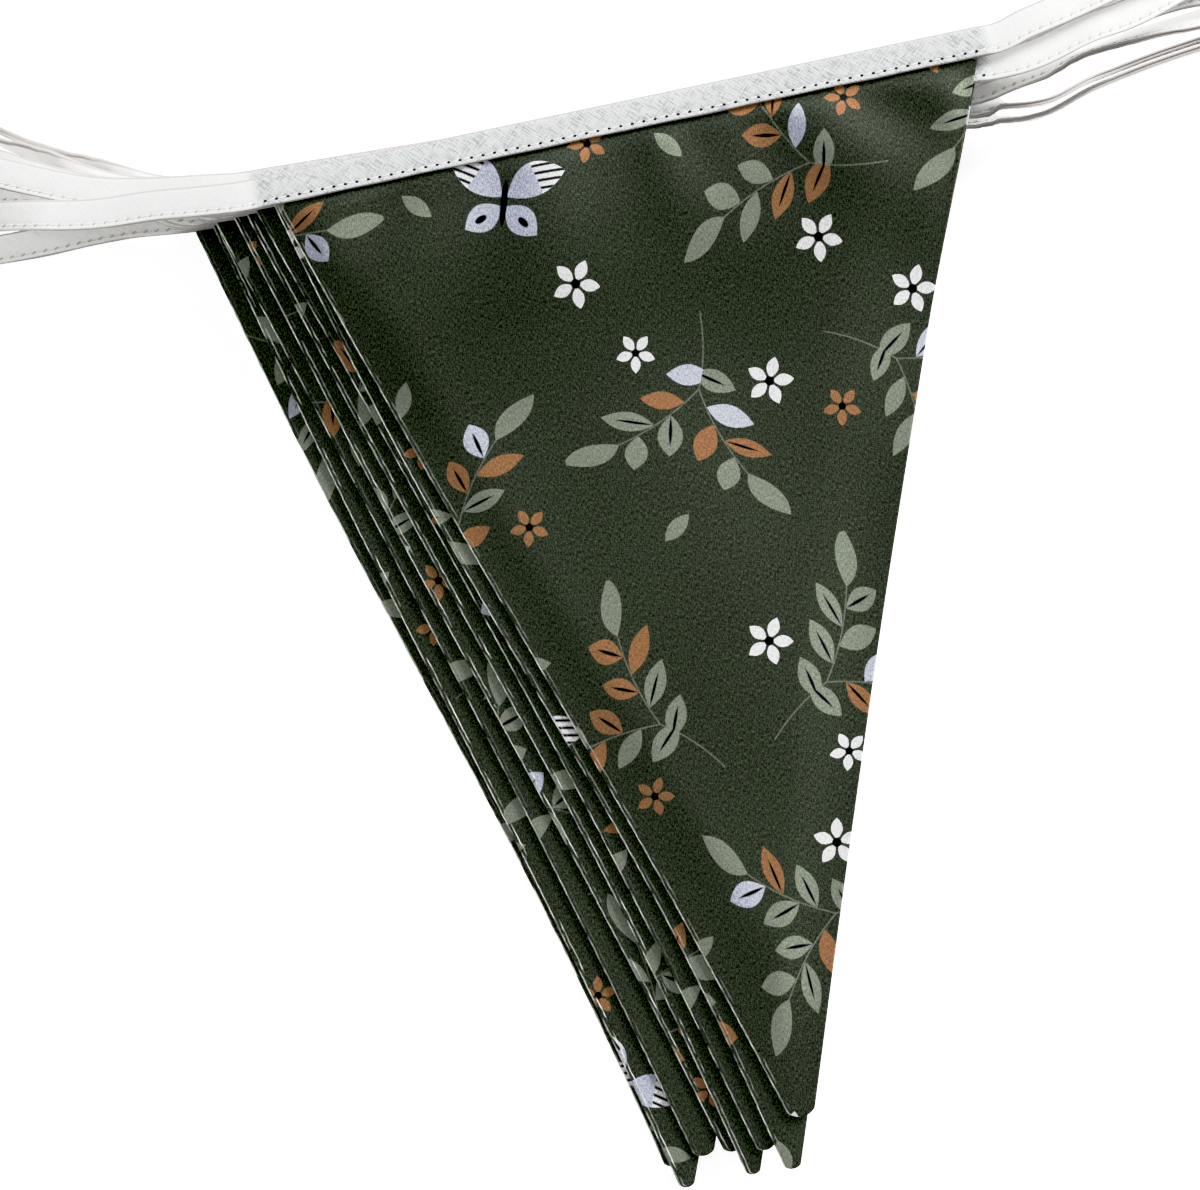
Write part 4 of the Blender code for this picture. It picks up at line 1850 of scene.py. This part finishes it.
    def placed(self, nodes: Nodes, inputs: dict[str, object], rings: int,
               material: bpy.types.NodeSocket) -> bpy.types.NodeSocket:
        """Puts a small round shape at each point, and makes it real.

        Args:
            nodes: The tree's nodes.
            inputs: The points, and their shapes' rotation and size.
            rings: How many rings a shape has.
            material: Its material.

        Returns:
            The real shapes.
        """
        ball = nodes.add("GeometryNodeMeshUVSphere", None,
                         {"Segments": self.segments, "Rings": rings, "Radius": 1.0})
        copies = nodes.add("GeometryNodeInstanceOnPoints", None,
                           {"Instance": ball.outputs[0], **inputs})
        real = nodes.add("GeometryNodeRealizeInstances", None, {0: copies.outputs[0]})
        smooth = nodes.add("GeometryNodeSetShadeSmooth", None, {0: real.outputs[0]})
        inputs = {"Geometry": smooth.outputs[0], "Material": material}
        return nodes.add("GeometryNodeSetMaterial", None, inputs).outputs[0]

    def build(self, lines: Sequence[bpy.types.Object],
              finishes: dict[StitchInput, PlainFinish]) -> list[bpy.types.Object]:
        """Sews along lines.

        Args:
            lines: The stitch lines, which are used up.
            finishes: The finishes of the thread and of the needle holes.

        Returns:
            A plain mesh for each line.
        """
        tree, named = self.tree()
        settings = {
            StitchInput.PITCH: self.pitch * MM,
            StitchInput.LENGTH: self.length * MM,
            StitchInput.WIDTH: self.width * MM,
            StitchInput.HOLE: self.hole * MM,
            StitchInput.SLANT: self.slant,
            StitchInput.SEED: self.seed,
            **{entry: finish.material() for entry, finish in finishes.items()},
        }
        pieces = []
        for number, line in enumerate(lines):
            modifier = line.modifiers.new("stitches", "NODES")
            modifier.node_group = tree
            for entry, setting in settings.items():
                modifier[named[entry]] = setting
            seen = bpy.context.evaluated_depsgraph_get()
            mesh = bpy.data.meshes.new_from_object(line.evaluated_get(seen))
            pieces.append(added(f"binding_stitches_{number + 1}", mesh))
            line.modifiers.remove(modifier)
            bpy.data.objects.remove(line, do_unlink=True)
        return pieces


@dataclass(frozen=True)
class Lamp:
    """A square soft light: its place and side in metres, and its power in watts."""

    name: str
    place: Colour
    size: float
    power: float

    def hang(self) -> None:
        """Hangs it so that it faces the pile."""
        data = bpy.data.lights.new(self.name, "AREA")
        data.size = self.size
        data.energy = self.power
        lamp = added(self.name, data)
        lamp.location = self.place
        lamp.rotation_euler = (-Vector(self.place)).to_track_quat("-Z", "Y").to_euler()


@dataclass(frozen=True)
class Studio:
    """A plain pale surface, soft light and the camera straight above."""

    camera_x: float = -3.1
    camera_y: float = -17.6
    camera_height: float = 686.0
    camera_turn: float = -11.48
    lens: float = 85.0
    sensor: float = 36.0
    nearest: float = 10.0
    floor_size: float = 8000.0
    floor_gap: float = 0.25
    surface: PlainFinish = PlainFinish("pale_surface", (0.95, 0.95, 0.95), 0.9, glow=0.85)
    sky: float = 0.40
    lamps: tuple[Lamp, ...] = (
        Lamp("overhead", (-0.4, 0.3, 1.8), 1.6, 6.0),
        Lamp("window", (2.21, 1.55, 1.28), 0.95, 120.0),
    )
    black: float = 0.026
    tones: tuple[tuple[float, float], ...] = (
        (0.12, 0.12), (0.30, 0.32), (0.46, 0.56), (0.77, 0.80), (1.05, 0.90), (1.35, 1.0),
    )

    def camera(self) -> None:
        """Puts the camera where the photograph was taken."""
        data = bpy.data.cameras.new("camera")
        data.lens = self.lens
        data.sensor_width = self.sensor
        data.clip_start = self.nearest * MM
        camera = added("camera", data)
        camera.location = Vector((self.camera_x, self.camera_y, self.camera_height)) * MM
        camera.rotation_euler = (0.0, 0.0, math.radians(self.camera_turn))
        bpy.context.scene.camera = camera

    def floor(self) -> bpy.types.Object:
        """Lays the surface that the bunting lies on, which glows so that shadows on it stay pale.

        Returns:
            The floor.
        """
        half = self.floor_size / 2 * MM
        corners = [(-half, -half), (half, -half), (half, half), (-half, half)]
        mesh = bpy.data.meshes.new("floor")
        mesh.from_pydata([(x, y, -self.floor_gap * MM) for x, y in corners], [], [(0, 1, 2, 3)])
        mesh.materials.append(self.surface.material())
        return added("floor", mesh)

    def lights(self) -> None:
        """Lights the pile softly from above, and more from a low window at the upper right."""
        world = bpy.data.worlds.new("studio")
        world.use_nodes = True
        sky = world.node_tree.nodes["Background"]
        sky.inputs["Color"].default_value = (1.0, 1.0, 1.0, 1.0)
        sky.inputs["Strength"].default_value = self.sky
        bpy.context.scene.world = world
        for lamp in self.lamps:
            lamp.hang()
        view = bpy.context.scene.view_settings
        view.view_transform = "Standard"
        view.use_curve_mapping = True
        view.curve_mapping.black_level = (self.black,) * 3
        view.curve_mapping.clip_max_x = self.tones[-1][0]
        for curve in view.curve_mapping.curves[3:]:
            curve.points[1].location = self.tones[-1]
            for tone in self.tones[:-1]:
                curve.points.new(*tone)
        view.curve_mapping.update()


SEWING = {
    StitchInput.THREAD: PlainFinish("sewing_thread", (0.84, 0.84, 0.82), 0.6),
    StitchInput.PUNCHED: PlainFinish("needle_hole", (0.015, 0.017, 0.02), 0.9),
    # A grey painted shadow beside each stitch on the free tape.
    StitchInput.DIMPLED: PlainFinish("stitch_dimple", (0.60, 0.59, 0.58), 0.9),
}


@dataclass(frozen=True)
class Bunting:
    """The whole folded bunting."""

    pile: Pile = Pile()

    def flags(self) -> list[bpy.types.Object]:
        """Makes the flags, and hides the solid that each one stands for.

        Returns:
            The flags, from the lowest to the top one.
        """
        material = PrintedCotton().material()
        pieces = []
        for level, cut in enumerate(self.pile.cuts):
            piece = PrintedFlag(level, self.pile).build(material)
            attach(piece, BODY)
            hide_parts(f"flag_{level + 1:02d}")
            log.info("%s: %d faces", piece.name, len(piece.data.polygons))
            pieces.append(piece)
        return pieces

    def binding(self, flags: Sequence[bpy.types.Object]) -> None:
        """Makes the tape and its stitches.

        Args:
            flags: The flags that it holds, which are not used.
        """
        tape = BindingTape(TapeRoute(self.pile))
        fine = tape.fine_slices()
        piece = tape.build(fine, BindingCotton().material())
        lines = [tape.stitch_line(fine, side) for side in (1, -1)]
        sewing = Stitching().build(lines, SEWING)
        for part in (piece, *sewing):
            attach(part, BODY)
            log.info("%s: %d faces", part.name, len(part.data.polygons))
        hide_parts("binding_tape")
        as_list(flags[:1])
        log.info("tape length: %.0f mm", fine[-1].along)


def write_sizes() -> None:
    """Gathers the solids' box and the visual model's box as plain lists, which nothing uses."""
    boxes = {"cad": cad_box, "visual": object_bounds()}
    plain = {name: [list(corner) for corner in box] for name, box in boxes.items()}


def main() -> None:
    """Builds the studio and the bunting."""
    logging.basicConfig(level=logging.INFO, format="%(name)s %(message)s")
    studio = Studio()
    studio.camera()
    studio.floor()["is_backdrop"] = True
    studio.lights()
    bunting = Bunting()
    bunting.binding(bunting.flags())
    write_sizes()


if __name__ == "__main__":
    main()
